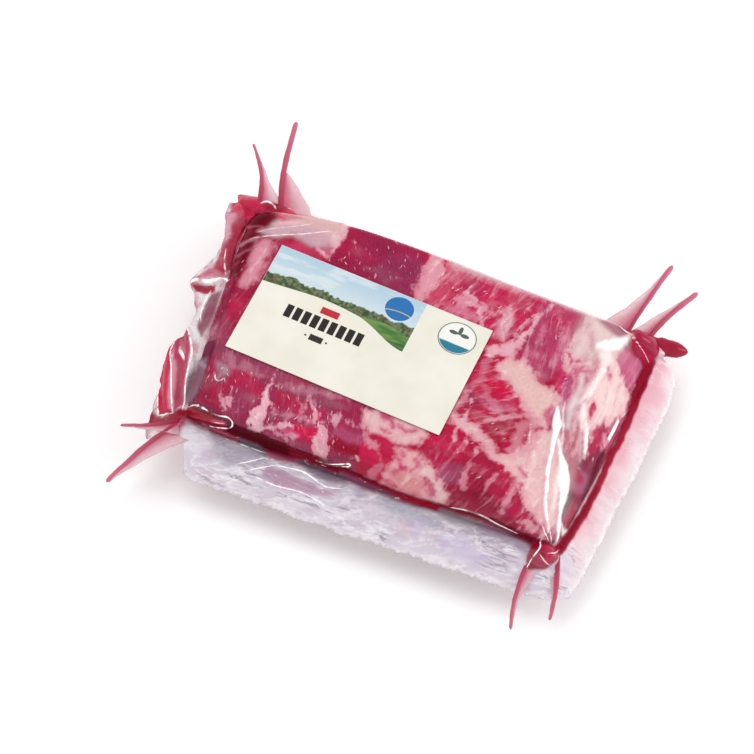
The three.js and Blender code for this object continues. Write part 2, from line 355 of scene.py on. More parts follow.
beef = {
    "across": 330,
    "along": 206,
    "shoulderRings": 24,
    "wallRings": 12,
    "undersideRings": 10,
    "inset": 0.4,  # it lies this far inside the film
    "lean": "#b3123d",
    "leanPale": "#e79bb0",
    "fleck": "#e9afbe",
    "fat": "#e2a8b0",
    "fatThin": "#df8ea2",
    "fatThick": "#f3dad6",
    "unseenLean": "#a3173f",
    "unseenLeanDark": "#8f2a4e",
    "unseenFat": "#e3b3b4",
    "muscleEdge": 1.6,  # mm to either side over which one lean gives way to the next
    "leanShade": 0.22,  # how much the lean darkens and lightens in patches of a centimetre
    "leanWander": [(1.6, 6, 5, 8)],
    "fatWander": [(1.1, 5, 10, 11), (0.5, 1.7, 1, 2)],
    "fibreBend": 1.5,
    "wallSpread": 0.9,  # how far the wall's pattern spreads outwards for each mm below the seam
    "faceFade": 8,  # mm below the seam where the face's paint ends
}

# Muscles: shape, colour, direction of the grain in degrees, how streaked, how flecked
muscles = [
    ([(-112, -72), (-6, -72), (-6, -18), (-112, -18)], "#9c2a50", 104, 0.15, 1.0),
    ([(-112, -18), (-78, -18), (-78, 42), (-112, 42)], "#a91c46", 80, 0.3, 0.3),
    ([(-53, 66), (-54, 50), (-56, 35), (-10, 32), (-12, 45), (-14, 66)], "#9b1f48", 113, 0.0, 1.0),
    ([(-12, 68), (-6, 30), (44, 28), (50, 68)], "#bf2451", 66, 0.9, 0.2),
    ([(46, 64), (66, 62), (66, 30), (62, 13), (45, 20)], "#b43a62", 96, 0.7, 0.2),
    ([(26, 22), (38, 18), (56, 0), (60, -26), (28, -22)], "#b81642", 32, 0.8, 0.2),
    ([(66, 62), (116, 62), (116, -66), (66, -66)], "#b43a5c", 80, 0.7, 0.0),
    ([(18, -28), (40, -26), (72, -44), (84, -66), (18, -66)], "#ad1741", 76, 0.5, 0.2),
    ([(90, -2), (106, -2), (108, -44), (92, -46), (92, -26)], "#8c2546", 80, 0.1, 0.0),
]

# Patches of other lean: shape, colour, strength
leanPatches = [
    ([(29, -41), (40, -40), (44, -44), (43, -50), (36, -51), (31, -47)], "#9c3b60", 0.9),
    ([(38, -52), (48, -49), (60, -47), (69, -50), (78, -53), (76, -57), (60, -57.5), (45, -59)],
     "#8d1032", 0.8),
    ([(50, -44, 3.5), (54, -52, 3)], "#8d1032", 0.6),
    ([(60, -40, 3), (63, -48, 3)], "#b81e48", 0.6),
    ([(70, -52, 2.5), (80, -54, 1.5)], "#c81c50", 0.8),
    ([(46, -6), (55, -5), (60, -9), (58, -17), (53, -24), (48, -21), (46, -14)], "#ab0330", 1.0),
    ([(47, -18, 3), (52, -24, 2.5)], "#a80834", 0.8),
    ([(36, 8), (42, 8), (52, 1), (50, -2), (42, 1), (36, 3)], "#c90e42", 0.85),
    ([(30, 17), (36, 12), (36, 4), (30, 4)], "#c02a54", 0.6),
    ([(30, -1, 2), (34, -6, 2.4), (32, -9, 1.5)], "#9c2a50", 0.8),
    ([(36, -3, 2), (44, -6, 2.5), (50, -3, 2)], "#c25a7c", 0.6),
    ([(21, -28), (38, -27), (44, -32), (38, -36), (28, -34), (20, -36)], "#c0083e", 0.85),
    ([(22, -36), (34, -36), (34, -41), (26, -41)], "#a8143f", 0.7),
    ([(-76, -31), (-62, -30), (-58, -38), (-66, -41), (-76, -38)], "#b01a46", 0.85),
    ([(-52, -34), (-36, -33), (-36, -42), (-50, -43)], "#b01944", 0.7),
    ([(-34, -36), (-28, -36), (-27, -43), (-32, -42)], "#c81850", 0.8),
    ([(-20, -41), (-5, -41), (-5, -47), (-20, -46)], "#a8466a", 0.8),
    ([(-22, -46), (-5, -46), (-4, -53), (-20, -54)], "#96042a", 0.95),
    ([(-20, -54), (-5, -53), (-2, -60), (-20, -60)], "#9a3050", 0.7),
    ([(-39, -47), (-27, -46), (-27, -52), (-38, -53)], "#d00f4a", 0.95),
    ([(-46, -50.5, 0.8), (-40, -51.5, 1.4), (-36, -51.5, 1)], "#d95a88", 0.8),
    ([(-52, -22), (-38, -23), (-40, -30), (-50, -30)], "#b2204c", 0.7),
    ([(-28, -27), (-12, -28), (-12, -40), (-26, -34)], "#a01d48", 0.7),
    ([(-88, -30), (-80, -34), (-80, -52), (-90, -52)], "#a01040", 0.8),
    ([(-80, -40), (-74, -40), (-76, -52), (-82, -50)], "#b00a3c", 0.7),
    ([(-70, -38), (-60, -40), (-61, -50), (-70, -50)], "#9a3558", 0.7),
    ([(92, -31), (97, -31), (95.5, -44), (92.5, -42)], "#5a0a22", 0.95),
    ([(97, -34), (106, -34), (102, -54), (94, -50)], "#a82a4a", 0.8),
    ([(92, -19), (104, -16), (104, -28), (92, -30)], "#a9607e", 0.85),
    ([(93, -6), (104, -3), (104, -18), (94, -18)], "#8a1d42", 0.8),
    ([(-93, -4), (-84, 2), (-84, -26), (-92, -26)], "#8f3c58", 0.7),
    ([(-92, 2), (-82, 12), (-82, -6), (-88, -8)], "#b01540", 0.7),
    ([(-54, 60), (-45, 58), (-46, 36), (-55, 36)], "#a0163f", 0.7),
    ([(-30, 54), (-12, 54), (-12, 34), (-34, 36)], "#94305a", 0.6),
    ([(-80, 38), (-75, 43), (-66, 47), (-60, 42), (-58, 38)], "#c63a62", 0.7),
    ([(-112, 60), (-96, 60), (-93, 30), (-95, 0), (-98, -20), (-108, -20)], "#7d0c2c", 0.9),
    ([(-104, -26), (-92, -28), (-88, -50), (-102, -52)], "#81425a", 0.9),
    ([(24, 41), (29, 41), (29, 33), (24, 33)], "#c2104a", 0.8),
    ([(8, 52), (20, 52), (20, 45), (8, 46)], "#ad2652", 0.7),
    ([(45, 44, 0.8), (45.5, 32, 1), (46, 22, 0.7)], "#9c0f3c", 0.8),
    ([(38, 40), (44, 40), (45, 30), (38, 27)], "#b41a48", 0.7),
    ([(51, 52), (66, 50), (66, 43), (52, 43)], "#c02858", 0.8),
    ([(60, 42), (66, 42), (66, 24), (61, 20)], "#c24c74", 0.6),
]

# Fat: shape, colour, strength, softness of its edge in mm
fatPatches = [
    # soft pale zones first, then the clear-cut pieces
    ([(-2, 56), (68, 55), (68, 66), (-2, 66)], "#f0d2d8", 0.8, 3.0),
    ([(0, 50), (6, 50), (8, 60), (-2, 60)], "#dc7f9a", 0.5, 3.0),
    ([(30, 28), (37, 28), (38, 38), (34, 48), (30, 46)], "#e4a3b4", 0.65, 2.5),
    ([(2, 36), (12, 40), (20, 36), (22, 33), (4, 33)], "#d9809a", 0.7, 2.0),
    ([(28, -1, 1.6), (29, -8, 1.8), (28, -14, 1.6), (29, -20, 1.4)], "#dfa0b2", 0.7, 1.6),
    ([(34, -10, 0.8), (33, -18, 1.4)], "#e5a9b8", 0.7, 1.2),
    ([(36, 3, 1), (40, -4, 1.6), (46, -7, 1.8), (52, -4, 1.2)], "#d98aa2", 0.45, 2.0),
    ([(32, 16, 1.2), (34, 8, 1.4), (31, 1, 1.0)], "#df8aa4", 0.5, 1.8),
    ([(56, -10), (62, -8), (64, -26), (57, -26)], "#dd9cab", 0.6, 2.0),
    ([(60, 44, 1.5), (63, 34, 1.2), (62, 24, 1.0)], "#e2a0b2", 0.5, 1.6),
    ([(52, 44, 0.6), (51, 34, 0.9), (53, 26, 0.6)], "#dd90a8", 0.4, 1.2),
    ([(44, -37, 0.9), (43.5, -44, 1.0), (45, -50, 0.8)], "#d9809a", 0.7, 1.2),
    ([(56, -39, 0.8), (54, -46, 0.8)], "#dd8ca4", 0.7, 1.2),
    ([(67, -40, 1.4), (66, -48, 1.4), (65.5, -54, 1.0)], "#e39aac", 0.8, 1.4),
    ([(-76, -29, 1.0), (-70, -27, 1.6), (-62, -29, 1.4)], "#c888a0", 0.5, 2.0),
    ([(-50, -31, 1.0), (-40, -29, 1.6), (-30, -27, 1.8), (-20, -24.5, 1.2)], "#c888a0", 0.55, 1.8),
    ([(-50, -46, 1.0), (-40, -43.5, 1.4), (-30, -42.5, 1.6), (-24, -41, 0.8)], "#cc8fa6", 0.6, 1.4),
    ([(-80, -25, 1.2), (-76, -28, 1.4)], "#c58fa6", 0.5, 2.0),
    ([(38, 17), (42, 21), (50, 21.5), (54, 20), (58, 15), (62, 13), (66, 13.5), (72, 9), (70, 2), (68, -2),
      (70, -8), (64, -8), (61, -4), (57, -3), (55, 0), (51, 3), (45, 8), (40, 9.5), (37, 13)],
     "#e8bcb8", 1.0, 1.3),
    ([(67, 62), (69, 50), (67, 42), (65.5, 34), (65, 28), (70, 26.5), (75, 28), (81, 30), (82, 20), (80, 8),
      (84, 0), (88, -6), (92, 0), (96, 6), (101, 8), (106, 17), (106, 28), (100, 33), (92, 36), (90, 44),
      (88, 50), (84, 52), (78, 62)], "#f0d0ce", 1.0, 1.4),
    ([(66, 27), (69, 20), (71, 12), (72, 4), (80, 6), (83, 20), (81, 31), (74, 29)], "#e3b0b9", 0.9, 1.4),
    ([(79, 11, 2.4), (81, 3, 3.0), (84, -6, 2.4), (87, -14, 1.4)], "#eed2d2", 0.85, 1.8),
    ([(90, 4, 1.4), (93, -4, 1.8), (94, -12, 1.2)], "#e6bcc3", 0.85, 1.2),
    ([(100, 9, 1.4), (101, 3, 1.2), (101, -2, 0.8)], "#dfa3b0", 0.8, 1.0),
    ([(70, 4), (72, -6), (67, -9), (64, -14), (61, -22), (60, -26), (54, -28), (49, -28), (51, -31),
      (58, -32.5),
      (63, -36), (68, -39), (70.5, -45), (76, -50), (84, -52), (93, -56), (94, -46), (90, -34), (86, -24),
      (82, -16), (78, -8)], "#ecbfc0", 1.0, 1.2),
    ([(28, -17, 1.5), (34, -19, 3.0), (40, -21, 3.6), (46, -24, 3.0), (51, -28, 2.0)], "#e4b2b8", 0.9, 1.4),
    ([(43, -13, 0.8), (48, -10, 1.2), (54, -6.5, 1.4), (60, -4, 1.4)], "#e29aae", 0.85, 1.2),
    ([(76, -55, 0.8), (82, -55, 1.6), (88, -55.8, 1.6), (92, -57, 1)], "#e2a6ae", 0.9, 0.8),
    ([(-12, -29), (-6, -26), (0, -26), (10, -26.5), (20, -27), (21, -31), (18, -37), (13, -39.5), (8, -39),
      (3, -37.5), (-2, -39), (-7, -38), (-10, -35)], "#eac4c2", 0.97, 1.8),
    ([(9, -41), (14, -40), (19, -39), (24, -43), (30, -47), (36, -51), (40, -54), (43, -58), (36, -60.5),
      (28, -62), (18, -61.5), (10, -60), (9.5, -53), (11, -46)], "#e8b4b3", 0.97, 2.0),
    ([(15, -54, 2.0), (22, -56, 3.0), (28, -57, 2.0)], "#e2908c", 0.9, 2.5),
    ([(24, -44, 1.5), (28, -48, 3), (33, -53, 2.6), (38, -57, 1.6)], "#ead2ce", 0.95, 1.6),
    ([(-6, -40, 1.5), (-4, -43, 2.2), (1, -44, 1.6)], "#e08aa2", 0.85, 1.2),
    ([(3, -48, 1), (5, -54, 1.8), (4, -60, 1.5)], "#d45c80", 0.7, 1.4),
    ([(-56.2, -21, 0.5), (-55.8, -28, 0.7), (-56, -34, 1.0), (-55.8, -41, 2.4), (-55.4, -48, 3.6),
      (-55.6, -54, 3.6), (-56.5, -57, 2)], "#e9aebc", 1.0, 0.6),
    ([(-52, -54.5, 1.4), (-46, -51, 1.5), (-39, -48.6, 1.3)], "#dfa6b8", 1.0, 0.7),
    ([(-45, -54.5, 0.9), (-39, -54, 1.2), (-35, -53, 0.5)], "#d99ab0", 0.8, 0.8),
    ([(-38, -30, 0.3), (-35, -34, 0.5), (-32.5, -37, 0.7), (-29.5, -42, 1.4), (-25, -45, 2.6), (-24, -51, 4),
      (-22.5, -55.5, 4.0)], "#e5a0ae", 1.0, 0.7),
    ([(-76, -51), (-75.5, -46), (-72, -42), (-70.5, -45), (-70.5, -51.5), (-73, -52)], "#e2a0b0", 0.95, 0.8),
    ([(-26, -36), (-23, -34.5), (-20, -35), (-19, -38), (-20.5, -41), (-24, -41)], "#e0acb8", 0.9, 0.9),
    ([(-18.5, -36, 0.8), (-15, -38, 1.2), (-12, -38.5, 0.6)], "#dba0ac", 0.7, 0.9),
    ([(-41, -35, 0.7), (-37, -37, 0.9), (-38, -39, 0.4)], "#dba0b0", 0.6, 0.8),
    ([(-12, 66), (-5.5, 64), (-2, 50), (-6, 32), (-11.5, 32), (-12, 46)], "#e59cab", 0.95, 1.4),
    ([(-100, 58), (-95, 52), (-90, 45), (-84, 42.5), (-76, 46), (-68, 47.5), (-62, 42), (-55.5, 40),
      (-54, 50),
      (-52.5, 66), (-80, 66), (-95, 62)], "#eac2c6", 1.0, 1.0),
    ([(-91, 12), (-86, 11), (-82.5, 22), (-82, 38), (-88, 40), (-92, 36), (-91, 24)], "#dd9aa8", 0.9, 2.4),
    ([(8, 41, 0.4), (12, 45.5, 0.6), (18, 44, 0.5), (24, 42, 0.5), (30, 44, 0.3)], "#efc0cc", 0.85, 0.6),
    ([(21, 42, 0.3), (22, 37, 0.5), (24, 32, 0.4)], "#efc0cc", 0.8, 0.6),
    ([(27, 44, 0.3), (31, 41, 0.5), (33, 35, 0.5), (36, 28, 0.4)], "#efc4ce", 0.8, 0.7),
    ([(33, 46, 0.3), (35, 40, 0.5), (36, 33, 0.4)], "#efc4ce", 0.7, 0.7),
    ([(41, 48, 0.3), (43, 40, 0.5), (40, 32, 0.4)], "#eab6c4", 0.6, 0.7),
    ([(32, -6, 0.3), (34, -12, 0.5), (33, -19, 0.5)], "#f0c4ce", 0.8, 0.6),
    ([(38, -5, 0.4), (44, -8, 0.6), (48, -7, 0.4)], "#e6aaba", 0.6, 0.9),
    ([(31, -20, 0.4), (32, -26, 0.6), (34, -31, 0.4)], "#efc0c8", 0.7, 0.7),
    ([(36, -21, 0.5), (38, -27, 0.7), (40, -32, 0.4)], "#efc0c8", 0.7, 0.8),
    ([(43, -23, 0.5), (44, -29, 0.6), (45, -34, 0.4)], "#efc0c8", 0.6, 0.8),
    ([(5, 40), (8, 43), (12, 45), (18, 42.5), (27, 42), (28, 39.5), (20, 39.5), (10, 38)],
     "#e196aa", 0.85, 1.2),
    ([(17, 43, 0.8), (20, 40, 1.2), (22, 36, 1.2), (24, 32, 1.0)], "#e6a8b8", 0.9, 0.8),
    ([(51, 54, 1.2), (49.5, 50, 1.6), (47, 44, 1.5), (45, 37, 1.6), (43, 31, 2.2), (40, 25, 3.6),
      (33, 21, 3.0)],
     "#e8aeba", 1.0, 0.9),
    ([(68, 28, 0.8), (69, 40, 1.2), (69, 54, 2)], "#e5b9bd", 0.9, 1.0),
    ([(63, -6, 1.6), (66, -14, 2), (64, -22, 2.4)], "#e0a8ae", 0.8, 1.4),
]

# Lean that shows through the fat: shape, colour
leanIslands = [
    ([(66.5, 12), (66, 18), (67.5, 23), (72, 24), (72.5, 20), (70, 16), (69.5, 12)], "#c22058"),
    ([(73, 26, 0.6), (75, 20, 0.9), (76, 14, 0.6)], "#c86a86"),
    ([(78.5, 22, 0.5), (78, 14, 0.7)], "#c9708a"),
    ([(70, 22, 0.8), (75, 25.5, 1.3), (80, 28, 0.7)], "#d06a86"),
    ([(66, 33, 1.0), (70, 30, 1.2), (73, 31, 0.6)], "#c84c72"),
    ([(71, 20, 1.2), (73, 13, 1.8), (74, 6, 1.6), (76, -1, 1.4), (78, -8, 1.2), (81, -14, 1.2),
      (85, -19, 1.6)],
     "#b84c74"),
    ([(86, 14, 0.8), (87.2, 10, 1.4), (88.5, 6, 0.8)], "#b4204e"),
    ([(83.5, 1, 0.8), (84.3, -4, 1.5), (85.5, -10, 1.2), (86, -16, 1.4), (90, -20, 2.4), (96, -23, 2.4)],
     "#a81e48"),
    ([(96, 10, 0.6), (96.5, 3, 1.5), (97.5, -3, 2.2), (94, -8, 1.8)], "#b01c48"),
    ([(87, 32, 0.5), (89.5, 29, 0.7)], "#c86a84"),
    ([(68.5, 3, 0.8), (68.5, -1, 1.0), (69, -5, 0.6)], "#cf6a84"),
    ([(90, 46), (98, 45), (105, 50), (104, 33), (98, 35), (90, 38)], "#c0567c"),
    ([(90.5, 60), (90.5, 52), (93, 48), (97, 46), (101, 49), (107, 52), (107, 62)], "#a81644"),
    ([(75, 60, 1.2), (84, 53, 1.2)], "#c04a72"),
    ([(-3, -27, 1.2), (1, -29, 1.8), (4, -31, 1.2)], "#cc4c74"),
    ([(1, -39), (5, -38.5), (9, -42), (8.5, -46), (4, -45), (4, -42)], "#c0194a"),
    ([(-6, -45), (0, -46), (5, -48), (6, -52), (2, -54), (-5, -53)], "#c4184a"),
    ([(8, -50, 1.2), (8.5, -56, 1.2)], "#c4234c"),
    ([(12, -58.5, 0.8), (20, -60.5, 1.0), (28, -61, 1.2)], "#c8506c"),
    ([(65.5, -31, 0.8), (67.5, -33, 1.2)], "#cc6c88"),
    ([(12, -42, 0.5), (13.5, -44, 1.0)], "#c96484"),
    ([(13, -47, 0.8), (16, -50, 1.6), (14, -53, 0.8)], "#c8406a"),
    ([(20, -44, 0.6), (22, -47, 1.0), (20, -50, 0.5)], "#cf5a7c"),
    ([(27, -52, 0.5), (31, -54, 1.0), (34, -57, 0.5)], "#cc5f7a"),
    ([(6, -30, 0.5), (10, -32, 1.0), (14, -31, 0.5)], "#cc5a7c"),
    ([(0, -34, 0.6), (3, -35.5, 0.9)], "#c8486e"),
    ([(83, 44, 0.6), (79, 36, 1.2), (80, 30, 0.6)], "#cf7f92"),
    ([(73, 46, 0.5), (76, 38, 1.0), (74, 32, 0.5)], "#cb7a90"),
    ([(-62, 47), (-56, 47), (-56, 42), (-62, 43)], "#c8607c"),
]


def paintFace(u, v):
    # what shows: each muscle over the last, then patches, then fat as a signed depth with lean islands
    edge = beef["muscleEdge"]
    lean = np.broadcast_to(linear(beef["lean"]), u.shape + (3,)).copy()
    streaked, flecked = np.zeros(u.shape), np.zeros(u.shape)
    grain = np.zeros(u.shape + (3,))
    wanderU, wanderV = wandered(u, v, beef["leanWander"])
    for number, (shape, hexCode, degrees, streaks, flecks) in enumerate(muscles):
        depth = depthIn(wanderU, wanderV, shape)
        here = ease(-edge, edge, depth)
        lean = mixColour(lean, linear(hexCode), here)
        streaked, flecked = mix(streaked, streaks, here), mix(flecked, flecks, here)
        grain = np.where((depth > 0)[..., None], alongGrain(u, v, degrees, number), grain)
    for shape, hexCode, strength in leanPatches:
        depth = depthIn(wanderU, wanderV, shape) + 1.2 * cloudy(u / 4, v / 4, 7)
        lean = mixColour(lean, linear(hexCode), strength * ease(-edge, edge, depth))
    lean = lean * (1 + beef["leanShade"] * cloudy(u / 10, v / 8, 3))[..., None]
    wanderU, wanderV = wandered(u, v, beef["fatWander"])
    depthFat, softness, strength = np.full(u.shape, -20.0), np.ones(u.shape), np.ones(u.shape)
    fat = np.broadcast_to(linear(beef["fat"]), u.shape + (3,)).copy()
    for shape, hexCode, opacity, soft in fatPatches:
        depth = depthIn(wanderU, wanderV, shape)
        fat = mixColour(fat, linear(hexCode), ease(-2, 1, depth))
        softness = mix(softness, soft, ease(-2.5, -0.5, depth))
        strongest = np.maximum(opacity, strength * (depthFat > 0))
        strength = np.where(depth > np.minimum(depthFat, 0), strongest, strength)
        depthFat = np.maximum(depthFat, depth)
    for shape, hexCode in leanIslands:
        depth = depthIn(wanderU, wanderV, shape)
        lean = mixColour(lean, linear(hexCode), ease(-1.5, 0.5, depth))
        depthFat = np.minimum(depthFat, -1.6 * depth)
    return lean, fat, np.stack([depthFat, softness, strength], -1), grain, streaked, flecked


def alongGrain(u, v, degrees, number):
    # a place along and across the fibres in mm, a little bent, and apart from every other muscle's
    angle = math.radians(degrees)
    across = v * math.cos(angle) - u * math.sin(angle) + beef["fibreBend"] * cloudy(u / 16, v / 16, 9)
    return np.stack([u * math.cos(angle) + v * math.sin(angle), across, np.full(u.shape, 7.0 * number)], -1)


def paintUnseen(u, v, number):
    # the sides and the underside, which the photo doesn't show: broad fat between plain muscles
    shade = cloudy(u / 30, v / 22, 3)[..., None]
    lean = linear(beef["unseenLean"]) * (1 + 0.25 * shade)
    lean = mixColour(lean, linear(beef["unseenLeanDark"]), ease(0.0, 0.5, cloudy(u / 34 + 5, v / 25, 8)))
    band = cloudy(u / 27, v / 17, 6, 4)
    depthFat = (band - 0.3) * 14 + 0.8 * cloudy(u / 2, v / 2, 1)
    vein = 0.5 - 16 * np.abs(cloudy(u / 21 + 7, v / 16 + 3, 2, 4))
    depthFat = np.maximum(depthFat, vein)
    fat = np.broadcast_to(linear(beef["unseenFat"]), u.shape + (3,))
    plain = np.ones(u.shape)
    field = np.stack([depthFat, 1.1 * plain, 0.95 * plain], -1)
    return lean, fat, field, alongGrain(u, v, 70 + 50 * number, 20 + number), 0.35 * plain, 0.3 * plain


def blendPaint(one, two, share):
    # one paint giving way to another, layer by layer
    return tuple(a + (b - a) * (share[..., None] if a.ndim > share.ndim else share) for a, b in zip(one, two))


def paintLayers(paint):
    # the mesh layers that a paint fills; how streaked and how flecked it is go with the two colours
    lean, fat, field, grain, streaked, flecked = paint
    return {
        "lean": np.concatenate([lean, streaked[..., None]], -1).reshape(-1, 4),
        "fat": np.concatenate([fat, flecked[..., None]], -1).reshape(-1, 4),
        "field": field.reshape(-1, 3),
        "grain": grain.reshape(-1, 3),
    }


def joinLayers(parts):
    return {key: np.concatenate([part[key] for part in parts]) for key in parts[0]}


def makeBeef():
    # two closed pieces that meet at the seam: the face that shows, and the sides and underside below it
    across, along, inset = beef["across"], beef["along"], beef["inset"]
    _, _, flat = flatTop(across, along, inset)
    walkS, walkT = squareWalk(across, along)
    shoulder = shoulderPoint(ringShares(beef["shoulderRings"], walkS)[1:], walkS, walkT, inset)
    place = unrolled(shoulder, walkS, walkT)
    seamMiddle = [0.0, 0.0, form["seamHeight"]]
    facePaint = joinLayers(
        [
            paintLayers(paintFace(flat[..., 0], flat[..., 1])),
            paintLayers(paintFace(place[..., 0], place[..., 1])),
            paintLayers(paintUnseen(np.zeros(1), np.zeros(1), 0)),
        ]
    )
    points = np.concatenate([flat.reshape(-1, 3), shoulder.reshape(-1, 3), [seamMiddle]])
    quads, rings = shellFaces(across, along, beef["shoulderRings"])
    face = fillMesh("beefFace", points, quads, closeRing(rings[-1], len(points) - 1)[:, ::-1], facePaint)
    print("beef: face painted")

    wall = wallPoint(ringShares(beef["wallRings"], walkS), walkS, walkT, inset)
    under = undersidePoint(1 - ringShares(beef["undersideRings"], walkS)[1:-1], walkS, walkT, inset)
    # a wall's pattern runs on outwards from the seam; the face's paint gives way to the unseen sides'
    wallPlace = unrolled(wall, walkS, walkT)
    outward = wallPlace / np.linalg.norm(wallPlace, axis=-1, keepdims=True)
    wallPlace = wallPlace + outward * (beef["wallSpread"] * (form["seamHeight"] - wall[..., 2:]))
    below = ease(form["seamHeight"], form["seamHeight"] - beef["faceFade"], wall[..., 2])
    low = ease(12, 2, wall[..., 2])
    # the sides and the underside read the noise far from the face and from each other
    side = paintUnseen(wallPlace[..., 0] + 210, wallPlace[..., 1] + 130, 0)
    bottom = paintUnseen(wall[..., 0] + 430, wall[..., 1] + 430, 1)
    wallPaint = blendPaint(paintFace(wallPlace[..., 0], wallPlace[..., 1]), side, below)
    wallPaint = blendPaint(wallPaint, bottom, low)
    points = np.concatenate([wall.reshape(-1, 3), under.reshape(-1, 3), [seamMiddle, [0.0, 0.0, inset]]])
    paint = joinLayers(
        [
            paintLayers(wallPaint),
            paintLayers(paintUnseen(under[..., 0] + 430, under[..., 1] + 430, 1)),
            paintLayers(paintUnseen(np.full(2, 430.0), np.full(2, 430.0), 1)),
        ]
    )
    rows = np.arange(len(points) - 2).reshape(-1, len(walkS))
    caps = closeRing(rows[0], len(points) - 2), closeRing(rows[-1], len(points) - 1)[:, ::-1]
    return face, fillMesh("beefSides", points, ringQuads(rows), np.concatenate(caps), paint)


# Noise drawn out along the fibres: the length and width of its marks in mm, detail, roughness
fibrePatterns = {
    "streak": (13, 2.6, 5.0, 0.62),
    "fine": (4, 0.45, 2.0, 0.5),
    "fleck": (5, 1.7, 2.0, 0.5),
    "blush": (9, 4, 4.0, 0.5),
    "cream": (5, 2.6, 4.0, 0.5),
}

# Even noise: the size of its marks in mm, detail
specklePatterns = {
    "broad": (3.8, 4.0),
    "grit": (0.7, 2.0),
    "haze": (7.0, 4.0),
    "cluster": (11, 2.0),
    "fatShade": (1.6, 3.0),
}

# What a pattern, or the depth in the fat, does: which, its low and high level, and the effect at each
beefEffects = {
    "fibreLight": ("fine", 0.3, 0.7, 0.86, 1.15),
    "gritLight": ("grit", 0.3, 0.7, 0.93, 1.07),
    "streaks": ("streak", 0.5, 0.7, 0.0, 0.8),
    "haze": ("haze", 0.5, 0.72, 0.0, 0.3),
    "flecks": ("fleck", 0.63, 0.7, 0.0, 0.7),
    "fleckClusters": ("cluster", 0.42, 0.62, 0.1, 1.0),
    "fatLight": ("fatShade", 0.3, 0.7, 0.94, 1.05),
    "blush": ("blush", 0.5, 0.7, 0.0, 0.5),
    "cream": ("cream", 0.48, 0.66, 0.0, 0.6),
    "cover": ("depth", -1.1, 1.1, 0.0, 1.0),
    "thin": ("depth", 0.0, 3.6, 0.6, 0.0),
    "thick": ("depth", 0.6, 2.4, 0.0, 1.0),
}


def beefMaterial():
    # Raw beef pressed flat under film. The eye sees crimson fibres with pale streaks along them, and
    # cream-pink fat whose ragged edge follows the fibres; the shine is the film's, so its own is low.
    material, tree = freshMaterial("raw marbled beef, pressed flat under film")
    layer = {key: addNode(tree, "Attribute", attribute_name=key) for key in ("lean", "fat", "field", "grain")}
    place = addNode(tree, "TexCoord").outputs["Object"]
    field = addNode(tree, "SeparateXYZ", {0: layer["field"].outputs["Vector"]})
    pattern = {}
    for key, (long, short, detail, roughness) in fibrePatterns.items():
        size = {0: layer["grain"].outputs["Vector"], 1: (1 / long, 1 / short, 1.0)}
        drawn = addNode(tree, "VectorMath", size, operation="MULTIPLY")
        noise = {"Vector": drawn, "Scale": 1.0, "Detail": detail, "Roughness": roughness}
        pattern[key] = addNode(tree, "TexNoise", noise)
    for key, (size, detail) in specklePatterns.items():
        pattern[key] = addNode(tree, "TexNoise", {"Vector": place, "Scale": 1000 / size, "Detail": detail})
    # how deep a point lies in the fat, frayed along the fibres and roughened, over the softness of the edge
    frayed = field.outputs["X"]
    for key, spread in (("streak", 7.0), ("broad", 7.0), ("grit", 1.4)):
        level = addNode(tree, "Math", {0: pattern[key], 1: 0.5}, operation="SUBTRACT")
        frayed = addNode(tree, "Math", {0: level, 1: spread, 2: frayed}, operation="MULTIPLY_ADD")
    pattern["depth"] = addNode(tree, "Math", {0: frayed, 1: field.outputs["Y"]}, operation="DIVIDE")
    effect = {}
    for key, (source, *levels) in beefEffects.items():
        values = dict(enumerate([pattern[source], *levels]))
        effect[key] = addNode(tree, "MapRange", values, interpolation_type="SMOOTHSTEP")
    # an effect held back by another, or by what is painted on the surface
    for key, by in (
        ("fibreLight", effect["gritLight"]),
        ("streaks", layer["lean"].outputs["Alpha"]),
        ("haze", layer["lean"].outputs["Alpha"]),
        ("flecks", layer["fat"].outputs["Alpha"]),
        ("flecks", effect["fleckClusters"]),
        ("cover", field.outputs["Z"]),
        ("cream", effect["thick"]),
    ):
        effect[key] = addNode(tree, "Math", {0: effect[key], 1: by}, operation="MULTIPLY")
    effect["pinked"] = addNode(tree, "Math", {0: effect["thin"], 1: effect["blush"]}, operation="MAXIMUM")
    colour = {}
    for key, light in (("lean", "fibreLight"), ("fat", "fatLight")):
        painted = {0: layer[key].outputs["Color"], "Scale": effect[light]}
        colour[key] = addNode(tree, "VectorMath", painted, operation="SCALE")
    for key, share, hexCode in (
        ("lean", "streaks", beef["leanPale"]),
        ("lean", "haze", beef["leanPale"]),
        ("lean", "flecks", beef["fleck"]),
        ("fat", "pinked", beef["fatThin"]),
        ("fat", "cream", beef["fatThick"]),
    ):
        blend = {"Factor": effect[share], "A": colour[key], "B": rgba(hexCode)}
        colour[key] = addNode(tree, "Mix", blend, data_type="RGBA")
    blend = {"Factor": effect["cover"], "A": colour["lean"], "B": colour["fat"]}
    marbled = addNode(tree, "Mix", blend, data_type="RGBA")
    height = addNode(tree, "Math", {0: effect["cover"], 1: 0.6, 2: pattern["fine"]}, operation="MULTIPLY_ADD")
    bump = addNode(tree, "Bump", {"Height": height, "Strength": 0.3, "Distance": 0.0003})
    surface = {"Base Color": marbled, "Roughness": 0.5, "Specular IOR Level": 0.12, "Normal": bump}
    addNode(tree, "OutputMaterial", {"Surface": addNode(tree, "BsdfPrincipled", surface)})
    return material


# The film

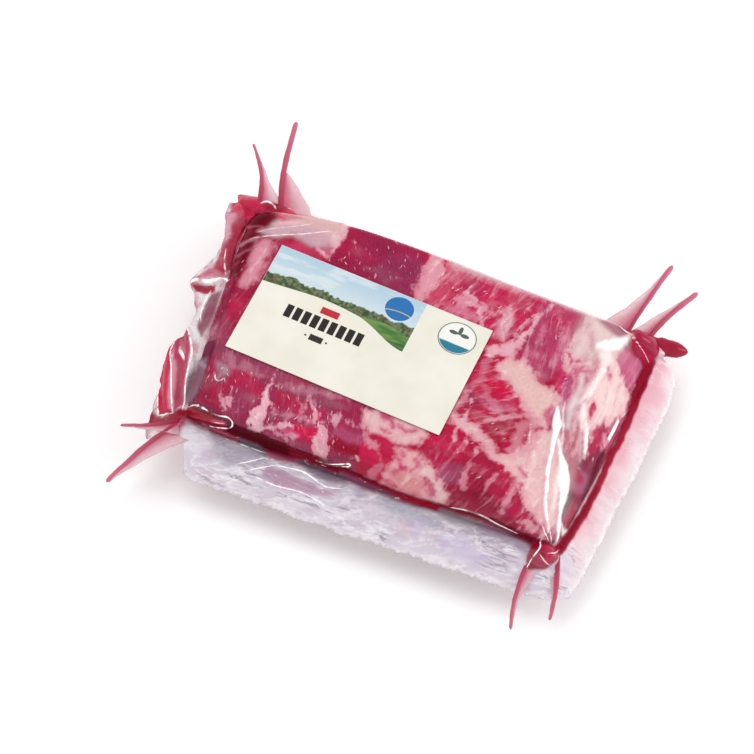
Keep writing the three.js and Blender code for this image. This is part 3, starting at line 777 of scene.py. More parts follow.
film = {
    "across": 241,
    "along": 149,
    "shoulderRings": 22,
    "webRings": 30,
    "underWebRings": 6,
    "wallRings": 9,
    "undersideRings": 4,
    "webThickness": 0.9,
    "rimWave": 1.1,  # how far the rim wanders in and out
    "leftWave": 2.6,
    "rimTeeth": 0.01,  # how rough its edge is
    "knotReach": 0.8,  # how much further the web reaches at the back left corner
    "backRightCut": 0.6,  # how much less far at the back right corner
    "cornerCut": 0.35,  # how much of the web is left at the front left corner
    "cutLength": (26, 7),  # mm in front and at the side over which it grows back from there
    "halfSize": (100, 56),
    # how far the web reaches by v, at either side
    "leftRim": [(-60, 1.0), (-15, 1.0), (-8, 0.75), (2, 0.6), (10, 0.75), (17, 1.12), (24, 0.8), (31, 0.5),
                (40, 0.4), (50, 0.65), (60, 0.95)],
    "rightRim": [(-60, 1.1), (-48, 1.35), (-30, 1.42), (-8, 1.38), (12, 1.3), (32, 1.2), (45, 1.0),
                 (52, 0.7), (60, 0.3)],
    "tintWander": [(0.5, 4, 3, 6)],
    "clear": "#f6f0f2",
    # the white of the stretch marks: partly stretch whitening, partly painted glare
    "stretchedAndGlare": "#fffdfa",
    "rimPale": "#fdf8fb",
    # painted light in the fine creases: shade in the dark ones, a highlight in the bright ones
    "creaseShade": "#a398ab",
    "creaseHighlight": "#fdfbfe",
    "mostShine": 0.3,
    "glint": 0.35,  # stretch marks are lit from within by this much, as a mirrored lamp would be
}

# Stretch marks that stand up from the film, white with painted glare: points (u, v, half width), strength,
# softness of the edge
stretchMarksAndGlare = [
    ([(71.3, 4, 0.4), (72.6, -1, 1.6), (74, -6, 1.9), (75, -11, 1.2), (75.6, -16, 0.8), (76.8, -24, 0.7),
      (79, -33, 0.7), (81.5, -40, 0.6), (85, -47, 0.5), (91, -54, 0.3)], 0.96, 0.5),
    ([(77, -12, 0.4), (80, -18, 0.8), (84, -23, 2.2), (87, -28, 3.4), (89.5, -33, 2.8), (91, -38, 1.6),
      (92.6, -44, 0.8), (95, -50, 1.0), (98, -55, 0.6)], 0.92, 0.9),
    ([(82, -24, 1.0), (83.5, -30, 1.6), (86, -37, 1.4), (88, -43, 0.8)], 0.45, 1.6),
    ([(84.5, 30, 1.0), (83.5, 24, 1.6), (82, 16, 2.0), (80, 10, 1.0)], 0.6, 1.8),
    ([(82, 9, 1.0), (83.5, 4, 1.8), (85.5, -1, 1.0)], 0.5, 1.4),
    ([(91.3, 54.5, 0.3), (89.5, 50, 1.8), (86, 45.5, 2.8), (82, 42.5, 2.6), (78.5, 41, 1.2)], 0.75, 1.6),
    ([(80, 41, 3.0), (84, 36, 2.6), (84.5, 30, 1.4)], 0.5, 2.0),
    ([(87, 2, 0.3), (89, -3, 1.2), (91.5, -9, 0.9), (93, -13, 0.2)], 0.85, 0.8),
    ([(86, -4, 0.5), (89, -10, 0.8), (92, -16, 0.5)], 0.35, 1.4),
    ([(62.8, -9, 0.2), (64, -14, 0.5), (65, -18, 0.2)], 0.7, 0.5),
    ([(73.5, 8, 0.2), (74.5, 2, 0.4), (77, -5, 0.3), (79.5, -14, 0.2)], 0.6, 0.5),
    ([(96, -48, 0.8), (99, -50, 1.4), (101, -48, 0.6)], 0.6, 1.0),
]


def stretchRelief(u, v):
    # stretch marks stand up by their strength, eased in from 2.4 mm outside their edge
    relief = np.zeros(u.shape)
    for points, strength, _ in stretchMarksAndGlare:
        relief = relief + 0.9 * strength * ease(-2.4, 0.8, depthInStroke(u, v, points))
    return relief


def pillow(u, v, start, end, half, bend, pointed):
    # a swelling that tapers to both ends: height * (4 k (1 - k))^pointed * sqrt(1 - across²)
    run, rise = end[0] - start[0], end[1] - start[1]
    length = math.hypot(run, rise)
    k = np.clip(((u - start[0]) * run + (v - start[1]) * rise) / length**2, 0, 1)
    across = ((v - start[1]) * run - (u - start[0]) * rise) / length - bend * np.sin(np.pi * k)
    swell = (4 * k * (1 - k)) ** pointed
    share = across / np.maximum(half[0] * swell, 1e-6)
    return half[1] * swell * np.sqrt(np.clip(1 - share**2, 0, 1))


# Pockets of juice between the films: start, end, half width and height, sideways bend, how pointed
pockets = [
    ((-106, -60), (-121.5, -12), (5.2, 4.4), -1.0, 0.55),
    ((-101.5, -54), (-117.5, -8), (3.2, 3.8), -2.2, 0.6),
    ((-125, 16), (-109, 21), (3.4, 3.6), 1.5, 0.5),
    ((-119, 69), (-112, 27), (5.5, 3.4), 1.5, 0.5),
    ((-97, -56.5), (-67.5, -56.8), (3.0, 1.4), 0.8, 0.4),
    ((-23, -60.5), (-5, -55.5), (1.9, 1.5), 0.0, 0.45),
    ((88, -66), (102, -61), (5.0, 3.6), 0.0, 0.5),
    ((92, 56), (117, 64), (5.0, 4.0), 0.0, 0.4),
    ((-121, 72), (-86, 70), (6.5, 4.0), 0.0, 0.45),
]


def filmRelief(u, v, reach):
    # how far the film stands off its smooth form, in mm: waves, except under the label, and on the web
    # crumples on the left, wrinkles in front and the pockets
    label = depthInPatch(u, v, [(-86, 41), (32, 33), (29, -31), (-87, -25)])
    quiet = ease(4, -3, label)
    relief = 0.14 * cloudy(u / 6, v / 6, 2) * quiet + stretchRelief(u, v)
    onWeb = ease(0.0, 0.25, reach)
    left = ease(-98, -106, u) * onWeb
    front = ease(-56, -62, v) * onWeb
    crumple = 1 - 2.6 * np.abs(cloudy(u / 9, v / 16, 4, 3))
    wrinkle = 1 - 2.4 * np.abs(cloudy((u + 0.6 * v) / 14, v / 3.6, 7, 3))
    relief = relief + left * 0.8 * crumple + front * 0.4 * wrinkle + onWeb * (1 - front) * 0.12 * crumple
    for pocket in pockets:
        relief = np.maximum(relief, pillow(u, v, *pocket) + 0.15 * crumple)
    return relief


# What is painted into the film, in order: shape, colour, opacity, softness of its edge
filmTints = [
    # the shoulder on the left, from the back corner to the front
    ([(-112, 74), (-96, 72), (-88, 62), (-87, 50), (-92, 38), (-92, 16), (-108, 20), (-114, 40)],
     "#7c0620", 0.92, 3.0),
    ([(-100, 70), (-96, 66), (-90, 54), (-92, 44), (-100, 44), (-105, 56)], "#5c0414", 0.8, 3.0),
    # a painted highlight: pink-red where the back of the shoulder catches light
    ([(-88, 62), (-80, 61), (-76, 56), (-84, 52), (-89, 54)], "#e0406c", 0.75, 2.0),
    ([(-108, 20), (-92, 16), (-91, 4), (-93, -10), (-106, -12), (-108, 0)], "#a31c49", 0.85, 3.0),
    ([(-106, 14, 1.0), (-100, 10, 1.4), (-95, 9, 0.8)], "#8a3d62", 0.8, 1.6),
    ([(-106, 2, 0.8), (-100, -1, 1.2), (-95, -1, 0.6)], "#8e3058", 0.7, 1.6),
    ([(-106, -12), (-92, -10), (-89, -19), (-104, -18)], "#c8738f", 0.85, 1.8),
    ([(-104, -19), (-89, -20), (-88, -29), (-98, -29), (-103, -25)], "#7b2448", 0.88, 1.6),
    ([(-104, -26), (-97, -30), (-89, -29), (-87, -38), (-88, -48), (-92, -53), (-101, -53), (-104, -40)],
     "#94697c", 0.85, 1.4),
    ([(-100, -36), (-90, -34), (-89, -44), (-99, -46)], "#8b5766", 0.8, 2.6),
    ([(-100, -29, 0.8), (-94, -32, 1.2), (-89, -34, 0.8)], "#b39dad", 0.7, 1.4),
    # thin veils of light over the dark corner
    ([(-112, 58, 0.4), (-106, 50, 0.7), (-99, 45.5, 0.8), (-91, 45, 0.4)], "#b8566f", 0.7, 0.7),
    ([(-111, 45, 0.4), (-106, 38.5, 0.9), (-99, 35.5, 1.2), (-94, 36.5, 1.0), (-88, 41, 0.5)],
     "#b77f8e", 0.75, 0.8),
    ([(-110, 38, 0.3), (-105, 32, 0.7), (-98, 28.8, 0.9), (-92, 31, 0.5)], "#b0627a", 0.65, 0.8),
    ([(-109, 31, 0.3), (-103, 26, 0.6), (-96, 23.5, 0.6)], "#a33a58", 0.6, 0.8),
    # milky haze where it is stretched over the beef, partly the film's own and partly painted sheen
    ([(-93, 42), (-84, 49), (-74, 53), (-60, 53), (-58, 46), (-66, 43), (-76, 45), (-84, 41)],
     "#dcb4c0", 0.75, 2.0),
    ([(-95, 60), (-70, 66), (-58, 68), (-56, 56), (-70, 54), (-86, 56)], "#ecc6c6", 0.7, 3.0),
    ([(-84, -22), (-60, -22), (-40, -26), (-20, -30), (-30, -36), (-60, -30), (-84, -30)],
     "#b88a9f", 0.15, 3),
    ([(-84, -30), (-80, -38), (-76, -34), (-78, -30)], "#d8cfd6", 0.4, 2),
    ([(66, 60), (92, 56), (90, 40), (80, 28), (66, 34)], "#f6e6e6", 0.4, 4),
    ([(73, 55), (82, 57), (90, 56), (96, 52), (90, 49), (80, 51)], "#a34a68", 0.6, 1.6),
    ([(76, 24, 1.0), (78, 16, 1.6), (77, 6, 1.4), (79, -4, 1.0)], "#f7ecec", 0.6, 1.4),
    ([(93, 22, 1.0), (94, 14, 1.2), (94, 6, 0.8)], "#f9efee", 0.55, 1.2),
    ([(97, 30, 0.8), (99, 22, 1.0), (100, 14, 0.6)], "#f4dfe0", 0.5, 1.2),
    ([(70, 8), (84, 8), (98, -40), (96, -56), (86, -50), (74, -24)], "#f4e6e8", 0.2, 3),
    ([(-4, 66), (70, 66), (68, 55), (40, 57), (0, 57)], "#f6dfe2", 0.55, 2.5),
    # juice along the seam
    ([(-100, -57, 1.5), (-88, -57, 2.8), (-76, -58, 2.6), (-62, -60, 2.8), (-48, -61, 3.2), (-34, -61, 2.4),
      (-20, -61, 2.2), (-8, -61, 1.6), (4, -61.5, 1.2), (16, -61.8, 1.0), (30, -62, 1.6), (40, -60.5, 1.2),
      (55, -58.8, 0.8), (70, -58.8, 0.8), (86, -60, 1.6), (96, -62, 2.6)], "#7a0622", 0.95, 0.9),
    ([(-70, -59, 1.6), (-55, -60.5, 2.8), (-40, -61, 2.2)], "#4c0010", 0.95, 1.4),
    ([(-98, -56, 1.2), (-90, -56.5, 2.2), (-80, -57, 1.8), (-74, -57.5, 1.0)], "#a00428", 0.9, 1.2),
    ([(-78, -57.5, 0.6), (-72, -56.8, 0.9)], "#e05a80", 0.7, 1.0),
    ([(-52, -65, 0.8), (-44, -66, 1.4), (-36, -65, 0.8)], "#b34a6c", 0.85, 0.8),
    ([(-10, -62.5, 1.0), (5, -63.5, 1.6), (20, -63.5, 1.4), (32, -62.5, 0.8)], "#8a4a68", 0.85, 0.9),
    ([(18, -61.8, 0.3), (25, -62, 0.9), (33, -61.6, 1.1), (42, -60.5, 0.4)], "#b3052c", 0.75, 1.2),
    ([(108.9, 53, 3.4), (108.4, 42, 3.6), (109, 30, 3.0), (109.8, 18, 1.9), (109.6, 8, 1.7), (108.5, 0, 1.7),
      (108, -12, 1.5), (107, -25, 1.8), (105.6, -38, 1.9), (103, -50, 2.0), (101, -58, 2.4)],
     "#98072c", 0.98, 0.5),
    ([(107.2, -20, 0.6), (105.8, -34, 1.0), (103.4, -46, 1.1), (101.4, -56, 1.2)], "#7c0422", 0.8, 1.0),
    ([(108.4, 50, 2.6), (108.2, 40, 2.8), (108.6, 31, 2.0)], "#84061f", 0.85, 1.4),
    ([(103.5, -3, 0.6), (103.5, -12, 1.8), (103, -20, 1.8), (102.5, -29, 0.6)], "#6e0c2a", 0.75, 2.0),
    ([(96, 55, 3), (101, 52, 3.2), (104, 49, 2.4)], "#a30d33", 0.85, 1.4),
    # the front web: grey and blue-grey patches, mostly beside the seam, are painted shade in its folds;
    # purple and pink ones are what lies in them
    ([(-66, -62), (-56, -62.5), (-50, -65), (-50, -67), (-58, -66), (-66, -64)], "#6d6678", 0.7, 1.0),
    ([(-78, -66), (-64, -65), (-54, -66), (-49, -70), (-58, -74), (-70, -75), (-78, -71)],
     "#9d97a6", 0.6, 2.0),
    ([(-32, -63.5), (-20, -63), (-8, -63.5), (-4, -66), (-14, -68.5), (-26, -67.5)], "#735a72", 0.7, 1.4),
    ([(-48, -70), (-34, -70.5), (-18, -71.5), (-6, -70), (-12, -73.5), (-24, -76), (-40, -77), (-48, -75)],
     "#b683a2", 0.75, 1.4),
    ([(42, -60.5), (52, -60), (62, -60), (60, -64), (50, -65), (42, -63)], "#a39fa9", 0.7, 1.4),
    ([(62, -60), (76, -60), (88, -61.5), (88, -66), (74, -64), (62, -63)], "#a08ea4", 0.7, 1.6),
    ([(12, -65), (24, -64.5), (38, -64), (46, -66), (42, -70), (26, -71), (14, -69)], "#a8afbd", 0.55, 2.0),
    ([(26, -71), (33, -71), (34, -76), (27, -76)], "#d9b6c4", 0.5, 2.0),
    ([(46, -69), (62, -69), (74, -72), (66, -77), (50, -76)], "#cdbfe0", 0.5, 2.4),
    ([(-96, -64), (-84, -63), (-78, -68), (-84, -74), (-95, -72)], "#f2eef4", 0.6, 2.4),
    ([(32, -67), (38, -67), (38, -74), (33, -74)], "#c9b6dd", 0.6, 2.0),
    # pockets of juice; the pale pink strokes inside the left lenses are painted reflection
    ([(-121.5, -13), (-118.5, -16), (-117.5, -22), (-116.5, -28), (-113, -36), (-108, -48), (-104, -58.5),
      (-110, -61), (-114, -53), (-120, -40), (-123, -30), (-122.5, -20)], "#ca1744", 0.95, 0.5),
    ([(-119, -30, 0.6), (-116.5, -40, 0.9), (-112.5, -50, 0.8)], "#d8557a", 0.7, 0.9),
    ([(-117.5, -9), (-119, -13), (-116.5, -24), (-113, -34), (-108, -47), (-103.5, -57), (-101, -53),
      (-105, -38), (-109, -24), (-113, -15)], "#be2f5a", 0.93, 0.5),
    ([(-113, -32, 0.8), (-110.5, -40, 1.6), (-107.5, -50, 1.4), (-105.5, -56, 0.8)], "#e6a3b3", 0.85, 0.9),
    ([(-116.5, -14, 0.5), (-114.5, -20, 0.9), (-111, -26, 0.7)], "#dc8ea4", 0.7, 0.7),
    ([(-125, 19), (-120, 26), (-113, 31), (-109, 26), (-113, 20), (-122, 17)], "#cc4a6c", 0.7, 1.4),
    ([(-124, 15.5), (-117, 16), (-112.5, 18), (-111.5, 14), (-115, 11.5), (-121, 11.5)],
     "#a8103a", 0.95, 0.6),
    ([(-113, 12), (-109, 16), (-107.5, 0), (-108, -14), (-112, -9), (-113.5, 0)], "#94405e", 0.85, 0.8),
    ([(-121, 70), (-119, 56), (-114, 46), (-117.5, 37), (-118, 28), (-112, 25), (-108, 30), (-106, 70)],
     "#b41f45", 0.88, 1.4),
    ([(-119, 64, 1.5), (-118, 56, 2.0), (-118, 50, 1.0)], "#e0a0b4", 0.8, 1.4),
    ([(-118, -60), (-108, -61), (-101, -55), (-96, -59), (-103, -66), (-113, -67)], "#98102f", 0.9, 1.2),
    ([(-112, -66, 1), (-104, -66, 2), (-98, -62, 1.4)], "#c23a60", 0.7, 1.4),
    ([(88, -58), (100, -57), (102, -62), (98, -69), (90, -72), (88, -66)], "#a00d33", 0.92, 0.6),
    ([(94, -59, 1), (98, -61, 1.6), (96, -66, 1)], "#c23058", 0.7, 0.9),
    ([(86, 62), (90, 52), (98, 47), (106, 49), (112, 56), (110, 66), (98, 70)], "#aa1c44", 0.88, 1.6),
    ([(-124, 80), (-121, 60), (-104, 62), (-80, 64), (-80, 80)], "#c81a48", 0.92, 1.2),
    ([(-112, 72, 1.0), (-104, 74, 1.4), (-96, 75, 1.0)], "#e8587c", 0.7, 1.2),
    ([(-110, 76), (-104, 66), (-96, 68), (-92, 76)], "#8c0a2a", 0.85, 1.4),
]

# Thin folds, low ridges painted white with a glow as a highlight: rows of (u, v, half width), and how opaque
foldHighlightLines = [
    ([(-118, -8, 0.2), (-113, -15, 0.5), (-109, -22, 0.55), (-107, -27, 0.6), (-105.3, -35, 0.45),
      (-103.3, -43, 0.4),
      (-101, -50, 0.35), (-100, -55.5, 0.3)], 0.95),
    ([(-125, -15, 0.3), (-121.5, -14.3, 0.5), (-119, -16, 0.5), (-118, -20, 0.4), (-117, -28, 0.35),
      (-113, -36, 0.35),
      (-108.5, -47, 0.35), (-104, -58, 0.35)], 0.85),
    ([(-122, -37, 0.25), (-118, -44, 0.45), (-115, -50, 0.45), (-112, -57, 0.45), (-110, -61, 0.35)], 0.9),
    ([(-110.5, -61.2, 0.4), (-106, -59.4, 0.4), (-103, -58, 0.4)], 0.9),
    ([(-126, 15.5, 0.5), (-122, 17.3, 1.0), (-117, 17.6, 0.9), (-113, 19.5, 0.8), (-109.5, 23, 0.8),
      (-106, 19.5, 0.7),
      (-102, 16.8, 0.6), (-98.5, 15.5, 0.3)], 0.92),
    ([(-114.5, -22.5, 0.3), (-113, -25.5, 1.1), (-110.5, -28.5, 0.8), (-109, -30.5, 0.2)], 0.85),
    ([(-114.5, 39, 0.2), (-112.5, 31, 0.5), (-110, 25, 0.6)], 0.7),
    ([(-113.5, 14, 0.3), (-114, 8, 0.5), (-113.6, 0, 0.4), (-111, -6, 0.2)], 0.6),
    ([(-94, -54.8, 0.25), (-88, -53.2, 0.3), (-82, -53.6, 0.3), (-75, -54.6, 0.3), (-69.5, -54.7, 0.35),
      (-67.5, -56.6, 0.4), (-69.5, -59.0, 0.35), (-76, -60.3, 0.3), (-82, -60.6, 0.2)], 0.75),
    ([(-83, -58.5, 0.2), (-77, -58, 0.3), (-71.5, -57.2, 0.2)], 0.55),
    ([(-23.5, -60.8, 0.35), (-18, -59.6, 0.35), (-12, -57.6, 0.35), (-7.5, -56.2, 0.5), (-7, -58, 0.45),
      (-13, -59.6, 0.3), (-20, -61.4, 0.3)], 0.9),
    ([(-8, -54.5, 0.5), (-6, -52.5, 1.0), (-3.5, -54.5, 0.8)], 0.45),
    ([(-82.5, -35, 0.2), (-81, -38.5, 0.5), (-79, -39, 0.5), (-77, -36.5, 0.2)], 0.6),
    ([(-96, 36, 0.15), (-89, 40, 0.4), (-80, 44.5, 0.5), (-70, 49, 0.5), (-60, 54.5, 0.3)], 0.4),
    ([(-93, 41, 0.15), (-86, 46, 0.35), (-78, 50, 0.35), (-70, 55, 0.2)], 0.35),
    ([(104.2, 15.5, 1.15), (103.6, 9, 1.2), (102.9, 3, 1.1), (102.4, -1.5, 0.9)], 0.97),
    ([(106.8, 22, 0.2), (106, 19, 0.4), (104.6, 16.8, 0.3)], 0.85),
    ([(104.8, 12, 0.35), (104.3, 7, 0.25), (103.6, 0, 0.25)], 0.9),
    ([(86, -52.5, 0.15), (90, -55, 0.3), (95, -57, 0.2)], 0.8),
    ([(88, -50, 0.15), (92.5, -54, 0.3), (97, -57, 0.2)], 0.6),
    ([(90.5, -57, 0.35), (92.5, -61, 0.4), (90.5, -67, 0.35), (89, -74, 0.25)], 0.85),
    ([(93, -63.5, 0.2), (97, -65.8, 0.3), (101, -66.5, 0.2)], 0.75),
    ([(96, -62.5, 0.2), (99.5, -60.5, 0.3), (101, -58, 0.2)], 0.6),
    ([(76, 58, 0.2), (84, 57, 0.35), (92, 54, 0.4), (100, 52, 0.3), (108, 50, 0.2)], 0.5),
    ([(-108, 69, 0.4), (-105, 71.5, 1.0), (-101.5, 70.5, 0.8), (-99, 68.5, 0.3)], 0.85),
    ([(-94, 72.5, 0.5), (-92, 74, 1.1), (-90.5, 73, 0.5)], 0.9),
    ([(-103, 65.5, 0.25), (-97, 66.5, 0.4), (-90, 66, 0.25)], 0.5),
    ([(-64, -74, 0.2), (-57, -71, 0.3), (-50, -67.5, 0.2)], 0.7),
    ([(-59, -76, 0.2), (-50, -72, 0.3), (-42, -68.5, 0.2)], 0.6),
    ([(-52, -76, 0.2), (-40, -77, 0.3), (-25, -76, 0.3), (-10, -77.5, 0.2)], 0.6),
    ([(-42, -69, 0.2), (-28, -68, 0.3), (-15, -70.3, 0.3), (-6, -68.6, 0.2)], 0.7),
    ([(-74, -64, 0.2), (-62, -65, 0.35), (-50, -65.5, 0.2)], 0.5),
    ([(45, -59, 0.2), (52, -58, 0.35), (60, -57.8, 0.35), (70, -58.6, 0.25), (80, -59, 0.15)], 0.5),
]


# Short glints where the film has puckered: two corners of an area, how many, and their direction in degrees
glints = [
    ((-86, -55), (-22, -29), 54, 104),
    ((-52, 37), (-14, 55), 16, 112),
    ((-104, -20), (-90, 36), 22, 70),
    ((-6, 37), (64, 53), 22, 66),
    ((67, -30), (99, 40), 30, 82),
    ((28, -52), (64, 8), 24, 45),
    ((-90, -73), (84, -61), 60, 172),
]


glintLook = {
    "seed": 23,
    "turn": 22,  # degrees by which directions differ
    "halfLength": (0.5, 1.7),
    "bend": 0.3,
    "halfWidth": (0.12, 0.24),
    "strength": (0.25, 0.8),
}


def scatterGlints():
    # rows like the fold lines', each a short bent stroke at a random place in its area
    dice, look = np.random.default_rng(glintLook["seed"]), glintLook
    strokes = []
    for low, high, count, degrees in glints:
        for _ in range(count):
            middle = dice.uniform(low, high)
            turn = math.radians(degrees + dice.normal(0, look["turn"]))
            along = np.array([math.cos(turn), math.sin(turn)]) * dice.uniform(*look["halfLength"])
            bend = np.array([-along[1], along[0]]) * dice.uniform(-look["bend"], look["bend"])
            width = dice.uniform(*look["halfWidth"])
            rows = [(*(middle - along), width / 2), (*(middle + bend), width), (*(middle + along), width / 2)]
            strokes.append((rows, dice.uniform(*look["strength"])))
    return strokes


def over(under, hexCode, cover):
    # a tint laid over (colour, opacity), both let through the share that isn't covered
    colour, opacity = under
    total = cover + opacity * (1 - cover)
    return mixColour(colour, linear(hexCode), cover / np.maximum(total, 1e-6)), total


def hairlines(noise, start=0.84):
    # thin winding lines where noise crosses zero
    return ease(start, 0.98, 1 - 1.5 * np.abs(noise))


def paintFilm(u, v, reach, s, t):
    # RGBA of what lies in the film and of painted light; finish: mirror strength, roughness, painted glow,
    # painted creases
    clear = np.broadcast_to(linear(film["clear"]), u.shape + (3,)).copy()
    haze = 0.05 * ease(0.15, 0.7, cloudy(u / 12, v / 7, 9))
    onWeb = ease(0.02, 0.15, reach)
    front = ease(0.55, 0.9, -t) * onWeb * ease(-0.999, -0.93, s)
    right = ease(0.6, 0.95, s) * onWeb * (1 - front)
    left = ease(0.6, 0.95, -s) * onWeb * (1 - front)
    back = ease(0.6, 0.95, t) * onWeb
    cloud = cloudy(u / 11, v / 6, 5)
    slant = cloudy((u + 0.4 * v) / 19, (v - 0.25 * u) / 1.5, 8, 4)
    streak = cloudy(u / 6, v / 9, 10, 4)
    juice = cloudy(u / 3.5, v / 12, 1, 3)
    wispHighlight = hairlines(cloudy(u / 15 + 3, (v - 0.3 * u) / 3.5, 4, 4))
    wispShade = hairlines(cloudy(u / 13 + 9, (v - 0.15 * u) / 3.5, 7, 4), 0.86)
    webTints = [
        ("#f3eef4", 0.5 * onWeb * (1 - 0.8 * left)),
        # the front web: lavender, greyed beside the seam by painted shade, with slanting grey and pale
        # streaks and wisps painted as shade and highlights
        ("#e0d4e2", front * (0.8 + 0.15 * cloud)),
        ("#8b8298", front * 0.6 * ease(0.4, 0.04, reach) * ease(-0.35, 0.25, cloud)),
        ("#a99fb3", front * 0.25 * ease(0.05, 0.6, slant) * ease(1.0, 0.4, reach)),
        ("#faf6fb", front * 0.3 * ease(-0.05, -0.6, slant)),
        ("#c9aec4", front * 0.35 * ease(0.1, 0.6, cloudy(u / 9 + 4, v / 4, 10))),
        ("#fffdff", front * 0.5 * wispHighlight),
        ("#857b92", front * 0.4 * wispShade * ease(0.8, 0.2, reach)),
        # the right web: pink beside the channel of juice, paler outwards
        ("#f6dfe2", right * 0.5),
        ("#e3a5b2", right * 0.9 * ease(0.95, 0.25, reach + 0.3 * cloud)),
        # the back web: clearer outwards, with red left in its creases and white hairlines painted as
        # highlights
        ("#eec0c9", back * (0.5 + 0.3 * streak)),
        ("#c8476a", back * 0.55 * ease(0.1, 0.6, juice) * ease(1.0, 0.2, reach)),
        ("#fff8fa", back * 0.6 * hairlines(streak)),
        # the left web: clear, with white threads painted as highlights and a blush of juice
        ("#d57290", left * 0.7 * ease(-0.4, 0.3, cloudy(u / 6, v / 12, 1))),
        ("#ffffff", left * 0.55 * hairlines(cloudy(u / 5, v / 12, 2, 3), 0.8)),
    ]
    layers = clear, haze
    for hexCode, cover in webTints:
        layers = over(layers, hexCode, cover)
    wanderU, wanderV = wandered(u, v, film["tintWander"])
    mottle = ease(-0.1, 0.5, cloudy(u / 3.5, v / 3.5, 11, 3))
    inked = np.zeros(u.shape)
    for outline, hexCode, strength, soft in filmTints:
        cover = strength * ease(-soft, soft, depthIn(wanderU, wanderV, outline))
        cover = cover * (1 - 0.4 * mottle * (soft >= 1.8))
        layers = over(layers, hexCode, cover)
        inked = np.maximum(inked, cover)
    glow = np.zeros(u.shape)
    bentU, frayed = u + 0.5 * cloudy(u / 5, v / 7, 1), 0.5 * cloudy(u / 1.6, v / 4, 2)
    # stretch marks: painted white and made to glow, a painted highlight of glare over the film's whitening
    for points, strength, soft in stretchMarksAndGlare:
        cover = strength * ease(-soft, soft, depthInStroke(bentU, v, points) + frayed)
        layers = over(layers, film["stretchedAndGlare"], cover)
        glow = np.maximum(glow, film["glint"] * cover)
    # the rim is pale, and worn clear at its very edge
    pale = onWeb * ease(0.86, 0.97, reach + 0.05 * cloudy(u / 3, v / 3, 9, 2)) * (1 - left)
    layers = over(layers, film["rimPale"], 0.6 * pale)
    worn = ease(0.93, 1.0, reach + 0.05 * cloudy(u / 1.7, v / 1.7, 9, 2)) * (1 - left)
    layers = layers[0], layers[1] * (1 - worn)
    wet = np.zeros(u.shape)
    for pocket in pockets:
        wet = np.maximum(wet, ease(0.1, 0.8, pillow(u, v, *pocket)))
    # strength of the painted crease light: bright hairlines painted highlight, dark ones painted shade
    creaseLight = onWeb * mix(0.2, 1.0, np.maximum(front, 0.7 * back)) * (1 - inked) * (1 - pale)
    creaseLight = creaseLight * ease(-0.25, 0.25, cloudy(u / 15, v / 9, 7))
    shine = mix(mix(0.12, 0.35 * (1 - worn) * (1 - 0.8 * inked), onWeb), 0.7, wet)
    roughness = mix(mix(0.12, 0.28, onWeb), 0.06, wet)
    return {
        "tint": np.concatenate([layers[0], layers[1][..., None]], -1).reshape(-1, 4),
        "finish": np.stack([shine, roughness, glow, creaseLight], -1).reshape(-1, 4),
    }


def plainFilm(shape, hexCode, opacity, shine=0.6, roughness=0.2, glow=0.0):
    # one tint and finish over so many points; opacity is a number or one number a point
    colour = np.broadcast_to(linear(hexCode), shape + (3,))
    alpha = np.broadcast_to(np.asarray(opacity, float), shape)[..., None]
    finish = np.broadcast_to(np.array([shine, roughness, glow, 0.0]), shape + (4,))
    return {"tint": np.concatenate([colour, alpha], -1).reshape(-1, 4), "finish": finish.reshape(-1, 4)}


def surfaceNormals(rings):
    # unit normals of a grid whose rows run outwards and whose columns run anticlockwise
    outward = np.gradient(rings, axis=0)
    around = (np.roll(rings, -1, 1) - np.roll(rings, 1, 1)) / 2
    normal = np.cross(around, outward) * -1
    return normal / np.maximum(np.linalg.norm(normal, axis=-1, keepdims=True), 1e-9)


def rimReach(s, t):
    # how far the web reaches round the walk, against webPoint's: it wanders, more on the left, is cut
    # back beside the front left corner, grows at the back left one, and follows a table at either side
    wave = mix(film["rimWave"], film["leftWave"], ease(0.9, 1.0, -s))
    reach = 1 + wave * cloudy(s * 9 + 30, t * 7 + 11, 1, 4) / 18
    (halfWide, halfDeep), (alongFront, alongSide) = film["halfSize"], film["cutLength"]
    corner = np.hypot((s + 1) * halfWide / alongFront, (t + 1) * halfDeep / alongSide)
    reach = reach * mix(film["cornerCut"], 1.0, ease(0.15, 1, corner))
    knot = film["knotReach"] * ease(-0.68, -0.78, s) * ease(-0.97, -0.82, s)
    cut = film["backRightCut"] * ease(0.86, 0.97, s)
    reach = reach * (1 + ease(0.75, 1.0, t) * (knot - cut))
    for table, side in (("leftRim", -s), ("rightRim", s)):
        reach = reach * mix(1, np.interp(t * 60, *zip(*film[table])), ease(0.9, 1.0, side))
    return reach + film["rimTeeth"] * cloudy(s * 17, t * 11, 3, 3)


